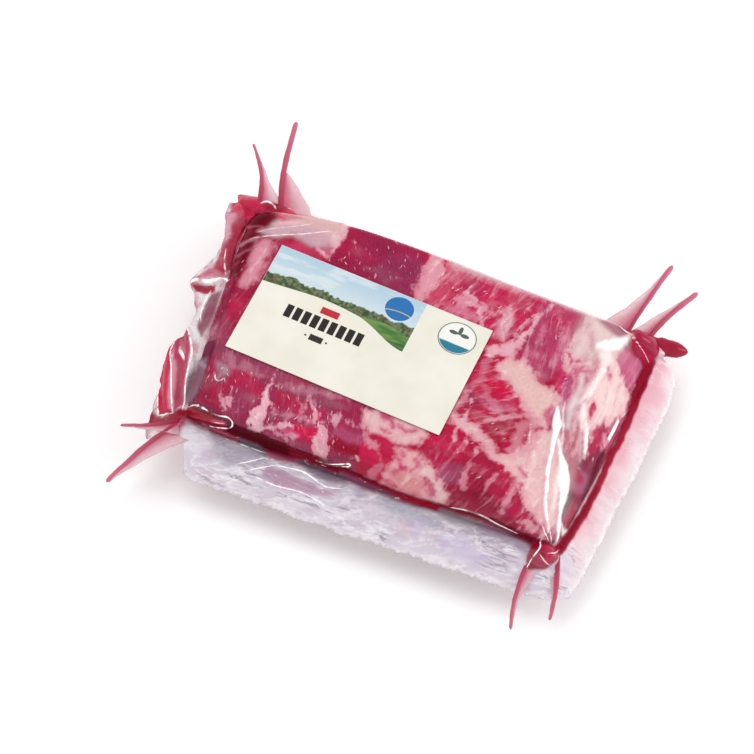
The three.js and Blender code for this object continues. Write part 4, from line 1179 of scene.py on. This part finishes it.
def makeFilm():
    # one closed sheet: over the top, out to the rim and back, down the wall and under the block
    across, along = film["across"], film["along"]
    s, t, flat = flatTop(across, along)
    flatPlace = flat[..., :2].copy()
    flat[..., 2] += filmRelief(flatPlace[..., 0], flatPlace[..., 1], 0 * s)
    walkS, walkT = squareWalk(across, along)
    turns = ringShares(film["shoulderRings"], walkS)[1:]
    reaches = ringShares(film["webRings"], walkS)[1:]
    rim = rimReach(walkS, walkT)
    web = webPoint(reaches * mix(1, rim, reaches), walkS, walkT)
    rings = np.concatenate([shoulderPoint(turns, walkS, walkT), web])
    ringReach = np.concatenate([0 * turns, reaches])
    place = unrolled(rings, walkS, walkT)
    seamRow = len(turns) - 1
    place[seamRow + 1 :] = rings[seamRow + 1 :, :, :2] + (place[seamRow] - rings[seamRow, :, :2])
    lift = filmRelief(place[..., 0], place[..., 1], ringReach) * ease(1.0, 0.93, ringReach)
    rings = rings + surfaceNormals(rings) * lift[..., None]
    upperPaint = joinLayers(
        [
            paintFilm(flatPlace[..., 0], flatPlace[..., 1], 0 * s, s, t),
            paintFilm(place[..., 0], place[..., 1], ringReach, walkS + 0 * ringReach, walkT + 0 * ringReach),
        ]
    )
    print("film: face tinted")

    # the lower film comes back in from the rim, then down the wall and under the block
    back = 1 - ringShares(film["underWebRings"], walkS)[1:-1]
    underWeb = webPoint(back * mix(1, rim, back), walkS, walkT) - [0, 0, film["webThickness"]]
    wall = wallPoint(ringShares(film["wallRings"], walkS), walkS, walkT)
    wall[..., 2] -= film["webThickness"] * ease(form["seamHeight"] * 0.6, form["seamHeight"], wall[..., 2])
    under = undersidePoint(1 - ringShares(film["undersideRings"], walkS)[1:-1], walkS, walkT)
    tight = np.concatenate([wall, under])
    milk = 0.04 + 0.06 * ease(0, 0.6, cloudy(tight[..., 0] / 9, (tight[..., 1] + tight[..., 2]) / 9, 4))
    lowerPaint = [
        plainFilm(underWeb.shape[:-1], "#eee6ee", 0.2),
        plainFilm(tight.shape[:-1], "#f2ecee", milk),
        plainFilm((1,), "#f2ecee", 0.05),
    ]
    sheets = flat, rings, underWeb, tight, np.zeros((1, 3))
    points = np.concatenate([sheet.reshape(-1, 3) for sheet in sheets])
    quads, numbers = shellFaces(across, along, (len(points) - 1 - across * along) // len(walkS))
    cap = closeRing(numbers[-1], len(points) - 1)[:, ::-1]
    piece = fillMesh("film", points, quads, cap, joinLayers([upperPaint, *lowerPaint]))
    upper = np.concatenate([flat.reshape(-1, 3), rings.reshape(-1, 3)])
    upperPlace = np.concatenate([flatPlace.reshape(-1, 2), place.reshape(-1, 2)])
    return piece, upper, upperPlace


def filmMaterial():
    # Clear barrier film: nearly invisible face on, mirror bright in its folds, tinted by what lies in it and
    # by painted light
    material, tree = freshMaterial("clear barrier film, shrunk tight")
    tint = addNode(tree, "Attribute", attribute_name="tint")
    finish = addNode(tree, "Attribute", attribute_name="finish")
    split = addNode(tree, "SeparateXYZ", {0: finish.outputs["Vector"]})
    place = addNode(tree, "TexCoord").outputs["Object"]
    ripple = addNode(tree, "TexNoise", {"Vector": place, "Scale": 160.0, "Detail": 3.0, "Distortion": 0.6})
    bump = addNode(tree, "Bump", {"Height": ripple, "Strength": 0.25, "Distance": 0.0008})
    fresnel = addNode(tree, "Fresnel", {"IOR": 1.5, "Normal": bump})
    capped = addNode(tree, "Math", {0: fresnel, 1: film["mostShine"]}, operation="MINIMUM")
    held = addNode(tree, "Math", {0: capped, 1: split.outputs["X"]}, operation="MULTIPLY")
    # fine creases painted as light and shade: bright hairlines a painted highlight, dark ones painted shade,
    # where stretched noise crosses two heights
    slanted = {"Vector": place, "Rotation": (0, 0, -0.25), "Scale": (55.0, 300.0, 150.0)}
    stretchedAndGlare = {"Vector": addNode(tree, "Mapping", slanted), "Scale": 1.0, "Detail": 4.0, "Distortion": 0.4}
    folds = addNode(tree, "TexNoise", stretchedAndGlare)
    colour, cover = tint.outputs["Color"], tint.outputs["Alpha"]
    for height, width, hexCode in ((0.42, 0.035, film["creaseShade"]), (0.53, 0.03, film["creaseHighlight"])):
        away = addNode(tree, "Math", {0: folds, 1: height}, operation="SUBTRACT")
        size = addNode(tree, "Math", {0: away}, operation="ABSOLUTE")
        near = addNode(tree, "MapRange", {0: size, 1: 0.0, 2: width, 3: 1.0, 4: 0.0})
        line = addNode(tree, "Math", {0: near, 1: finish.outputs["Alpha"]}, operation="MULTIPLY")
        blend = {"Factor": line, "A": colour, "B": rgba(hexCode)}
        colour = addNode(tree, "Mix", blend, data_type="RGBA")
    # a painted crease highlight also hides what is under it
    thick = addNode(tree, "Math", {0: line, 1: 0.85}, operation="MULTIPLY")
    opacity = addNode(tree, "Math", {0: cover, 1: thick}, operation="MAXIMUM")
    mirrored = {"Roughness": split.outputs["Y"], "Normal": bump}
    mirror = addNode(tree, "BsdfAnisotropic", mirrored, distribution="GGX")
    # the glow of the painted highlights: stretch marks, fold lines and glints
    surface = {
        "Base Color": colour,
        "Roughness": 0.5,
        "Specular IOR Level": 0.0,
        "Emission Color": tint.outputs["Color"],
        "Emission Strength": split.outputs["Z"],
    }
    body = addNode(tree, "BsdfPrincipled", surface)
    filled = addNode(tree, "MixShader", {0: opacity, 1: addNode(tree, "BsdfTransparent"), 2: body})
    shown = addNode(tree, "MixShader", {0: held, 1: filled, 2: mirror})
    addNode(tree, "OutputMaterial", {"Surface": shown})
    return material


# Fold lines and glints are painted white and glow by "glint": a painted highlight on low ridges
folds = {
    "pointsAcross": 7,
    "spacing": 0.8,  # mm from one row of points to the next
    "leastHalfWidth": 0.08,
    "lift": 0.12,
    "crest": 0.5,  # how high a ridge is for each mm of its half width
    "colour": "#fffdfb",
    "shine": 0.2,
    "roughness": 0.2,
    "glint": 0.6,
    "searched": 12,  # mm round a line in which its points on the film are looked for
}


def onFilm(place, upper, upperPlace):
    # the film's own point at a place in the pattern: the four nearest points, weighted by 1 / distance²
    low, high = place.min(0) - folds["searched"], place.max(0) + folds["searched"]
    around = ((upperPlace > low) & (upperPlace < high)).all(1)
    upper, upperPlace = upper[around], upperPlace[around]
    square = ((place[:, None, :] - upperPlace[None]) ** 2).sum(-1)
    nearest = np.argpartition(square, 4, axis=1)[:, :4]
    weight = 1 / (np.take_along_axis(square, nearest, 1) + 1e-3)
    return (upper[nearest] * weight[..., None]).sum(1) / weight.sum(1)[:, None]


def smoothLine(rows, spacing):
    # a curve through rows of numbers (Catmull-Rom), resampled about every spacing mm
    rows = np.array(rows, float)
    padded = np.concatenate([[2 * rows[0] - rows[1]], rows, [2 * rows[-1] - rows[-2]]])
    pieces = []
    for k in range(len(rows) - 1):
        a, b, c, d = padded[k : k + 4]
        steps = max(2, int(np.linalg.norm((c - b)[:2]) / spacing))
        x = np.linspace(0, 1, steps, endpoint=False)[:, None]
        square, cube = 2 * a - 5 * b + 4 * c - d, 3 * b - a - 3 * c + d
        pieces.append(0.5 * (2 * b + (c - a) * x + square * x**2 + cube * x**3))
    return np.concatenate(pieces + [rows[-1:]])


def makeFoldHighlights(upper, upperPlace):
    # each line is a low ridge: points across it, raised by up to half its half width, fading at both edges
    points, quads, layers, count = [], [], [], 0
    wide = folds["pointsAcross"]
    across = np.linspace(-1, 1, wide)
    for rows, strength in foldHighlightLines + scatterGlints():
        line = smoothLine(rows, folds["spacing"])
        line[:, 2] = np.maximum(line[:, 2], folds["leastHalfWidth"])
        heading = np.gradient(line[:, :2], axis=0)
        heading = heading / np.linalg.norm(heading, axis=1, keepdims=True)
        side = np.stack([-heading[:, 1], heading[:, 0]], -1)
        place = line[:, None, :2] + side[:, None] * (across[None, :, None] * line[:, None, 2:])
        ridge = onFilm(place.reshape(-1, 2), upper, upperPlace).reshape(len(line), wide, 3)
        ridge[..., 2] += folds["lift"] + folds["crest"] * line[:, 2:] * (1 - across**2)
        station = np.arange(len(line))
        ends = np.minimum(1, np.minimum(station, station[::-1]) / 3 + 0.2)
        broken = ease(-0.75, 0.1, cloudy(line[:, 0] / 2.2, line[:, 1] / 2.2, 6, 2))
        opacity = strength * (ends * broken)[:, None] * ease(1.0, 0.3, np.abs(across))[None]
        number = count + np.arange(len(line) * wide).reshape(len(line), wide)
        quads.append(sheetQuads(number)[:, ::-1])
        points.append(ridge.reshape(-1, 3))
        # white and glowing: a painted highlight on each ridge
        finish = folds["shine"], folds["roughness"], folds["glint"]
        layers.append(plainFilm(opacity.shape, folds["colour"], opacity, *finish))
        count += number.size
    return fillMesh("filmFoldHighlights", np.concatenate(points), np.concatenate(quads), (), joinLayers(layers))


# The pleats at the corners

# Where each starts and ends, its bead's radius at both ends, how wide its blade is and on which side, and
# how far it bends; some have their own way of narrowing, or their own colour at the tip
pleats = {
    "backLeftLong": {"root": (-88, 58, 26), "tip": (-103, 116.5, 26), "bead": (1.9, 1.4), "blade": -17,
                     "bend": 2.5, "fade": 0.7, "until": 0.5},
    "backLeftShort": {"root": (-101, 60, 26), "tip": (-118, 97, 26), "bead": (1.6, 0.8), "blade": -14,
                      "bend": -3, "fade": 2.6},
    "backRightLong": {"root": (86, 58, 26), "tip": (95, 105, 26), "bead": (0.9, 1.4), "blade": 13,
                      "bend": 0.5},
    "backRightShort": {"root": (95, 57, 26), "tip": (111, 95, 26), "bead": (1.2, 1.6), "blade": 9,
                       "bend": 1.5},
    "frontRightLong": {"root": (84, -55, 24), "tip": (85, -95, 14), "bead": (1.3, 0.9), "blade": 9,
                       "bend": -3},
    "frontRightShort": {"root": (93, -56, 24), "tip": (100, -84.5, 14), "bead": (1.6, 0.9), "blade": -5,
                        "bend": 1.5},
    "frontLeftLong": {"root": (-88, -50, 25), "tip": (-113.5, -95, 20), "bead": (1.7, 1.2), "blade": 11,
                      "bend": -2, "fade": 1.1},
    "frontLeftShort": {"root": (-93, -56, 25), "tip": (-118.5, -66.5, 22), "bead": (1.4, 0.8), "blade": 6,
                       "bend": 1},
    "backRightFinger": {"root": (83, 54, 26), "tip": (116.5, 63.5, 24.5), "bead": (7.2, 4.4), "blade": 2,
                        "bend": 1.5, "tipColour": "#a50f36"},
}
pleatLook = {
    "stations": 72,
    "beadPoints": 14,
    "bladePoints": 10,
    "bladeThickness": 0.5,
    "openAngle": 0.5,  # the part of the bead's turn, on either side, where the blade leaves it
    "fade": 1.8,
    "until": 1,
    "rootColour": "#a8123a",
    "tipColour": "#d9718c",
    "bladeInner": "#d0527a",
    "bladeOuter": "#f2c6cf",
    "finish": (0.6, 0.2, 0.0, 0.0),
}


def makePleat(name, pleat, layer):
    # a section carried from root to tip: a round bead of juice, and a blade of film that narrows as
    # (1 - k / until)^fade
    look = {**pleatLook, **pleat}
    k = np.linspace(0, 1, look["stations"])
    root, tip = np.array(look["root"], float), np.array(look["tip"], float)
    run = tip - root
    length = np.hypot(run[0], run[1])
    side = np.array([-run[1], run[0], 0]) / length
    facing = math.copysign(1, look["blade"])
    wobble = 0.25 * cloudy(k * 7, k * 0 + layer, layer)
    radius = mix(look["bead"][0], look["bead"][1], k) * (1 + 0.18 * cloudy(k * 11, k * 0 + 5, layer + 3))
    # the last of it rounds off as a square root
    radius = 0.8 * radius * np.sqrt(np.clip((1 - k) * length / (1.2 * radius), 0, 1)) + 0.1
    narrowing = np.clip(1 - k / look["until"], 0, 1) ** look["fade"]
    reach = radius + abs(look["blade"]) * narrowing * (1 + 0.08 * cloudy(k * 9, k * 0 + 2, layer + 1))
    turn = np.linspace(look["openAngle"], 2 * math.pi - look["openAngle"], look["beadPoints"])
    beadAcross, beadUp = radius[:, None] * np.cos(turn), radius[:, None] * np.sin(turn)
    out = np.linspace(0, 1, look["bladePoints"])
    half = look["bladeThickness"] / 2
    bladeAcross = radius[:, None] * 0.9 + (reach - radius * 0.9)[:, None] * out
    ripple = 0.5 * cloudy(k[:, None] * 8 + out * 2, out[None] * 2 + layer + k[:, None], layer + 2) * out
    lowBlade = -half * (1 - 0.6 * out) + ripple
    highBlade = half * (1 - 0.6 * out) + ripple
    across = np.concatenate([beadAcross, bladeAcross, bladeAcross[:, ::-1]], 1)
    up = np.concatenate([beadUp, lowBlade, highBlade[:, ::-1]], 1)
    bend = look["bend"] * np.sin(math.pi * k) + wobble
    points = root + run * k[:, None, None] + side * ((across * facing + bend[:, None])[..., None])
    points[..., 2] += up
    beadColour = mixColour(linear(look["rootColour"]), linear(look["tipColour"]), k)
    beadColour = beadColour[:, None] + 0 * turn[:, None]
    bladeShare = out[None] + 0 * k[:, None]
    paling = ease(0, 1.0, bladeShare + 0.5 * k[:, None])
    bladeColour = mixColour(linear(look["bladeInner"]), linear(look["bladeOuter"]), paling)
    bladeOpacity = mix(0.9, 0.55, bladeShare) + 0.25 * cloudy(k[:, None] * 14, out[None] * 3, layer)
    bladeOpacity = mix(bladeOpacity, 0.7, ease(0.86, 1.0, bladeShare))
    colour = np.concatenate([beadColour, bladeColour, bladeColour[:, ::-1]], 1)
    opacity = np.concatenate([0.93 + 0 * beadAcross, bladeOpacity, bladeOpacity[:, ::-1]], 1)
    rows, columns = across.shape
    number = np.arange(rows * columns).reshape(rows, columns)
    quads = ringQuads(number)[:, ::-1]
    first = closeRing(number[0], rows * columns)[:, ::-1]
    triangles = np.concatenate([first, closeRing(number[-1], rows * columns + 1)])
    if facing < 0:
        quads, triangles = quads[:, ::-1], triangles[:, ::-1]
    ends = np.array([points[0].mean(0), points[-1].mean(0)])
    points = np.concatenate([points.reshape(-1, 3), ends])
    tints = np.concatenate([colour, opacity[..., None]], -1).reshape(-1, 4)
    tints = np.concatenate([tints, tints[[0, -columns]]])
    finish = np.broadcast_to(np.array(look["finish"]), (len(tints), 4))
    return fillMesh("pleat-" + name, points, quads, triangles, {"tint": tints, "finish": finish})


# The label

labelPrint = {
    "centre": (-26.7, 4.8),
    "turn": -4.2,
    "top": 44.7,
    "inkLift": 0.05,  # mm above the paper, so that ink and paper don't fight
    "dark": "#2b2522",
    "darkest": "#231d1a",
    "redMark": (-22.5, -13.4, 4.4, 8.0),
    "smallBar": (-21.4, -14.8, -10.6, -7.4),
    "bars": {"count": 9, "left": -37.6, "spacing": 4.5, "width": 3.3, "bottom": -4.2, "top": 2.6},
    "seal": (41.2, 19.3),
    "leaves": [(38.4, 21.6, 2.2, 1.0), (41.2, 23.4, 1.0, 2.2), (44.0, 21.6, 2.2, 1.0)],
}


def onLabel(x, y, lift):
    # label coordinates from its middle, turned by its angle and moved to its place
    turn = math.radians(labelPrint["turn"])
    u = x * math.cos(turn) - y * math.sin(turn) + labelPrint["centre"][0]
    v = x * math.sin(turn) + y * math.cos(turn) + labelPrint["centre"][1]
    return np.stack([u, v, np.full(np.shape(u), labelPrint["top"] + lift)], -1)


def printedSheet(name, x, y, number, lift, paint):
    # ink on a grid of label coordinates and their point numbers, coloured by paint(x, y)
    tints = np.concatenate([paint(x, y), np.ones(x.shape + (1,))], -1).reshape(-1, 4)
    return fillMesh(name, onLabel(x, y, lift).reshape(-1, 3), sheetQuads(number), (), {"tint": tints})


def printedStrip(name, bottom, top, rows, lift, paint):
    # ink between two lines of points, in even steps from one to the other
    share = np.linspace(0, 1, rows)
    x, y = (bottom[:, k, None] + (top - bottom)[:, k, None] * share for k in (0, 1))
    return printedSheet(name, x, y, np.arange(x.size).reshape(x.shape), lift, paint)


def printedBar(name, left, right, low, high, hexCode):
    x = np.linspace(left, right, 12)
    bottom, top = np.stack([x, x * 0 + low], -1), np.stack([x, x * 0 + high], -1)
    return printedStrip(name, bottom, top, 3, labelPrint["inkLift"], plainInk(hexCode))


def printedDisc(name, centre, radius, paint, lift=labelPrint["inkLift"], inner=0.0):
    # a disc or ring: radius times (cos a, sin a)
    turn = np.linspace(0, 2 * math.pi, 97)
    share = np.linspace(inner, 1, 22 if inner == 0 else 5)
    x = centre[0] + radius[0] * np.cos(turn)[:, None] * share
    y = centre[1] + radius[1] * np.sin(turn)[:, None] * share
    return printedSheet(name, x, y, np.arange(x.size).reshape(x.shape).T, lift, paint)


def plainInk(hexCode):
    # one colour, a little uneven as ink on paper is
    colour = linear(hexCode)

    def paint(x, y):
        uneven = 1 + 0.03 * cloudy(x * 2, y * 2, 3)
        return np.broadcast_to(colour, x.shape + (3,)) * uneven[..., None]

    return paint


def badge(x, y):
    # a blue disc crossed by a bent yellow line
    line = ease(0.25, 0.1, np.abs(y - 20.6 + 0.02 * (x - 12) ** 2))
    return mixColour(linear("#1f6fb4"), linear("#e9d65a"), line)


def seal(x, y):
    # off-white over a blue-green foot
    return mixColour(linear("#f6f5ef"), linear("#1f7c96"), ease(0.1, -0.1, y - 16.0))


def landscape(x, y):
    # sky, a far wood, two hills and a meadow, each under its own wavy line
    sky = mixColour(linear("#dbe6ea"), linear("#b4cfe0"), ease(8, 30, y))
    clouds = 0.5 * ease(0.15, 0.6, cloudy(x / 12, y / 3.6, 2)) * ease(14, 20, y)
    colour = mixColour(sky, linear("#eef2f2"), clouds)
    wood = 15.0 + 1.6 * cloudy(x / 5, y * 0, 3) + 0.9 * cloudy(x / 1.4, y * 0, 4)
    leaves = cloudy(x / 1.2, y / 1.2, 6)
    trees = mixColour(linear("#33492b"), linear("#77835a"), ease(-0.5, 0.7, leaves))
    trees = mixColour(trees, linear("#8a5a44"), 0.6 * ease(0.25, 0.6, cloudy(x / 3.1, y / 2.2, 8)))
    colour = mixColour(colour, trees, ease(0.4, -0.4, y - wood))
    hill = 9.0 + 2.6 * np.sin(x / 15 + 1.2) + 0.6 * np.sin(x / 5.1)
    meadow = mixColour(linear("#3f7434"), linear("#7d9c50"), ease(-0.6, 0.8, cloudy(x / 9, y / 1.6, 5)))
    colour = mixColour(colour, meadow, ease(0.3, -0.3, y - hill))
    near = 4.6 + 2.2 * np.sin(x / 19 - 0.6)
    grass = mixColour(linear("#2c5a2c"), linear("#4f7f38"), ease(-0.5, 0.7, cloudy(x / 4, y / 0.9, 7)))
    return mixColour(colour, grass, ease(0.3, -0.3, y - near))


def makeLabelPrint():
    # the picture fills the top left of the label, down to a rising and falling lower edge
    x = np.linspace(-54.4, 21.0, 260)
    lower = 8.2 + 3.4 * np.exp(-(((x + 22) / 26) ** 2)) - 6.4 * ease(-6, 21, x)
    bottom, top = np.stack([x, lower], -1), np.stack([x, x * 0 + 29.9], -1)
    pieces = [
        printedStrip("print-picture", bottom, top, 96, 0.04, landscape),
        printedDisc("print-badge", (10.4, 22.0), (6.9, 6.3), badge, 0.07),
        printedBar("print-redMark", *labelPrint["redMark"], "#c3202f"),
    ]
    bars = labelPrint["bars"]
    for index in range(bars["count"]):
        left = bars["left"] + bars["spacing"] * index
        edges = left, left + bars["width"], bars["bottom"], bars["top"]
        pieces.append(printedBar(f"print-bar{index}", *edges, labelPrint["darkest"]))
    dark = plainInk(labelPrint["dark"])
    pieces += [
        printedBar("print-smallBar", *labelPrint["smallBar"], labelPrint["dark"]),
        printedDisc("print-dotLeft", (-23.4, -9), (0.5, 0.5), dark),
        printedDisc("print-dotRight", (-12.8, -9), (0.5, 0.5), dark),
        printedDisc("print-ring", labelPrint["seal"], (9.2, 8.4), plainInk("#4f6e74"), inner=0.955),
        printedDisc("print-seal", labelPrint["seal"], (8.5, 7.7), seal),
    ]
    for index, (x, y, wide, high) in enumerate(labelPrint["leaves"]):
        pieces.append(printedDisc(f"print-leaf{index}", (x, y), (wide, high), plainInk("#55605c"), 0.08))
    return pieces


def inkMaterial():
    # Offset ink on coated paper: flat colour with a faint satin
    material, tree = freshMaterial("printing ink on coated paper")
    tint = addNode(tree, "Attribute", attribute_name="tint")
    shader = addNode(tree, "BsdfPrincipled", {"Base Color": tint.outputs["Color"], "Roughness": 0.5})
    addNode(tree, "OutputMaterial", {"Surface": shader})
    return material


def paperMaterial():
    # Coated label paper: cream, matte, with fibres and the faint waves of the film under it
    material, tree = freshMaterial("coated label paper")
    place = addNode(tree, "TexCoord").outputs["Object"]
    fibres = addNode(tree, "TexNoise", {"Vector": place, "Scale": 1400.0, "Detail": 3.0})
    waves = addNode(tree, "TexNoise", {"Vector": place, "Scale": 55.0, "Detail": 2.0})
    # the cream darkens and lightens with the same waves that bump it: painted shade of the waves
    shade = addNode(tree, "MapRange", {0: waves, 1: 0.3, 2: 0.7, 3: 0.0, 4: 1.0})
    blend = {"Factor": shade, "A": rgba("#ece8d9"), "B": rgba("#f5f1e6")}
    cream = addNode(tree, "Mix", blend, data_type="RGBA")
    rough = addNode(tree, "Bump", {"Height": fibres, "Strength": 0.08, "Distance": 0.0001})
    soft = addNode(tree, "Bump", {"Height": waves, "Strength": 0.2, "Distance": 0.002, "Normal": rough})
    shader = addNode(tree, "BsdfPrincipled", {"Base Color": cream, "Roughness": 0.62, "Normal": soft})
    addNode(tree, "OutputMaterial", {"Surface": shader})
    return material


# Floor, light and camera


# It is lit a little from below, like paper on a light table, so that shadows stay pale
floor = {"half": 3000, "colour": "#ffffff", "roughness": 0.9, "specular": 0.1, "glow": 0.14}


def makeStage():
    half = floor["half"]
    corners = np.array([[-half, -half, 0], [half, -half, 0], [half, half, 0], [-half, half, 0]], float)
    piece = fillMesh("floor", corners, [[0, 1, 2, 3]])
    material, tree = freshMaterial("pale floor")
    surface = {
        "Base Color": rgba(floor["colour"]),
        "Roughness": floor["roughness"],
        "Specular IOR Level": floor["specular"],
        "Emission Color": (1, 1, 1, 1),
        "Emission Strength": floor["glow"],
    }
    addNode(tree, "OutputMaterial", {"Surface": addNode(tree, "BsdfPrincipled", surface)})
    piece.data.materials.append(material)
    piece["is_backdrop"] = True


# The sky is dim overhead, where the flat top mirrors it, and bright low down, where the folds do.
# Each lamp has its place and size in metres, its power, and whether the film mirrors it.
lights = {
    "skyLow": 0.8,
    "skyHigh": 0.5,
    "skyTurns": (0.2, 0.75),
    "aim": (0, 0, 0.03),
    "lamps": {
        "key": ((-0.5, 0.4, 1.35), (1.1, 1.1), 8, False),
        "fill": ((0.2, -1.3, 0.9), (1.2, 0.8), 2, False),
        "right": ((1.15, 0.4, 0.62), (0.6, 0.9), 6, True),
    },
}


def addLamp(name, place, size, power, mirrored):
    light = bpy.data.lights.new(name, "AREA")
    light.shape = "RECTANGLE"
    light.size, light.size_y = size
    light.energy = power
    lamp = bpy.data.objects.new(name, light)
    bpy.context.scene.collection.objects.link(lamp)
    lamp.location = place
    away = Vector(lights["aim"]) - Vector(place)
    lamp.rotation_euler = away.to_track_quat("-Z", "Y").to_euler()
    lamp.visible_glossy = mirrored


def makeLights():
    world = bpy.data.worlds.new("soft studio")
    world.use_nodes = True
    tree = world.node_tree
    tree.nodes.clear()
    up = addNode(tree, "SeparateXYZ", {0: addNode(tree, "TexCoord").outputs["Generated"]}).outputs["Z"]
    (low, high), sky = lights["skyTurns"], (lights["skyLow"], lights["skyHigh"])
    levels = {0: up, 1: low, 2: high, 3: sky[0], 4: sky[1]}
    strength = addNode(tree, "MapRange", levels, interpolation_type="SMOOTHSTEP")
    shader = addNode(tree, "Background", {"Color": (1, 1, 1, 1), "Strength": strength})
    addNode(tree, "OutputWorld", {"Surface": shader})
    bpy.context.scene.world = world
    for name, lamp in lights["lamps"].items():
        addLamp(name, *lamp)


# Degrees round to the right, degrees up, metres away and aimed at, and degrees that the long lens takes in
view = {"azimuth": 21, "elevation": 62, "distance": 1.345, "aim": (-0.016, 0.0, 0.022), "angle": 15}


def makeCamera():
    azimuth, elevation = math.radians(view["azimuth"]), math.radians(view["elevation"])
    level = math.cos(elevation)
    back = np.array([math.sin(azimuth) * level, -math.cos(azimuth) * level, math.sin(elevation)])
    camera = bpy.data.cameras.new("camera")
    camera.angle = math.radians(view["angle"])
    holder = bpy.data.objects.new("camera", camera)
    bpy.context.scene.collection.objects.link(holder)
    holder.location = np.array(view["aim"]) + back * view["distance"]
    holder.rotation_euler = Vector(back).to_track_quat("Z", "Y").to_euler()
    bpy.context.scene.camera = holder


def addPiece(piece, material, replaces=None):
    piece.data.materials.append(material)
    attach(piece, "root")
    if replaces:
        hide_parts(replaces)


makeCamera()
makeLights()
makeStage()
print("stage ready")

rawBeef = beefMaterial()
for piece in makeBeef():
    addPiece(piece, rawBeef, "bag")
print("beef ready")

clearFilm = filmMaterial()
filmPiece, filmPoints, filmPlaces = makeFilm()
addPiece(filmPiece, clearFilm, "bag")
addPiece(makeFoldHighlights(filmPoints, filmPlaces), clearFilm, "bag")
print("film ready")

for layer, (name, pleat) in enumerate(pleats.items()):
    addPiece(makePleat(name, pleat, layer), clearFilm, "bag")
print("pleats ready")

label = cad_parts["label"]
label.data.materials.clear()
label.data.materials.append(paperMaterial())
ink = inkMaterial()
for piece in makeLabelPrint():
    addPiece(piece, ink)
print("label ready")

bpy.context.scene.view_settings.view_transform = "Standard"
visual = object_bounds()
[[list(map(float, corner)) for corner in box] for box in (cadBounds, visual)]
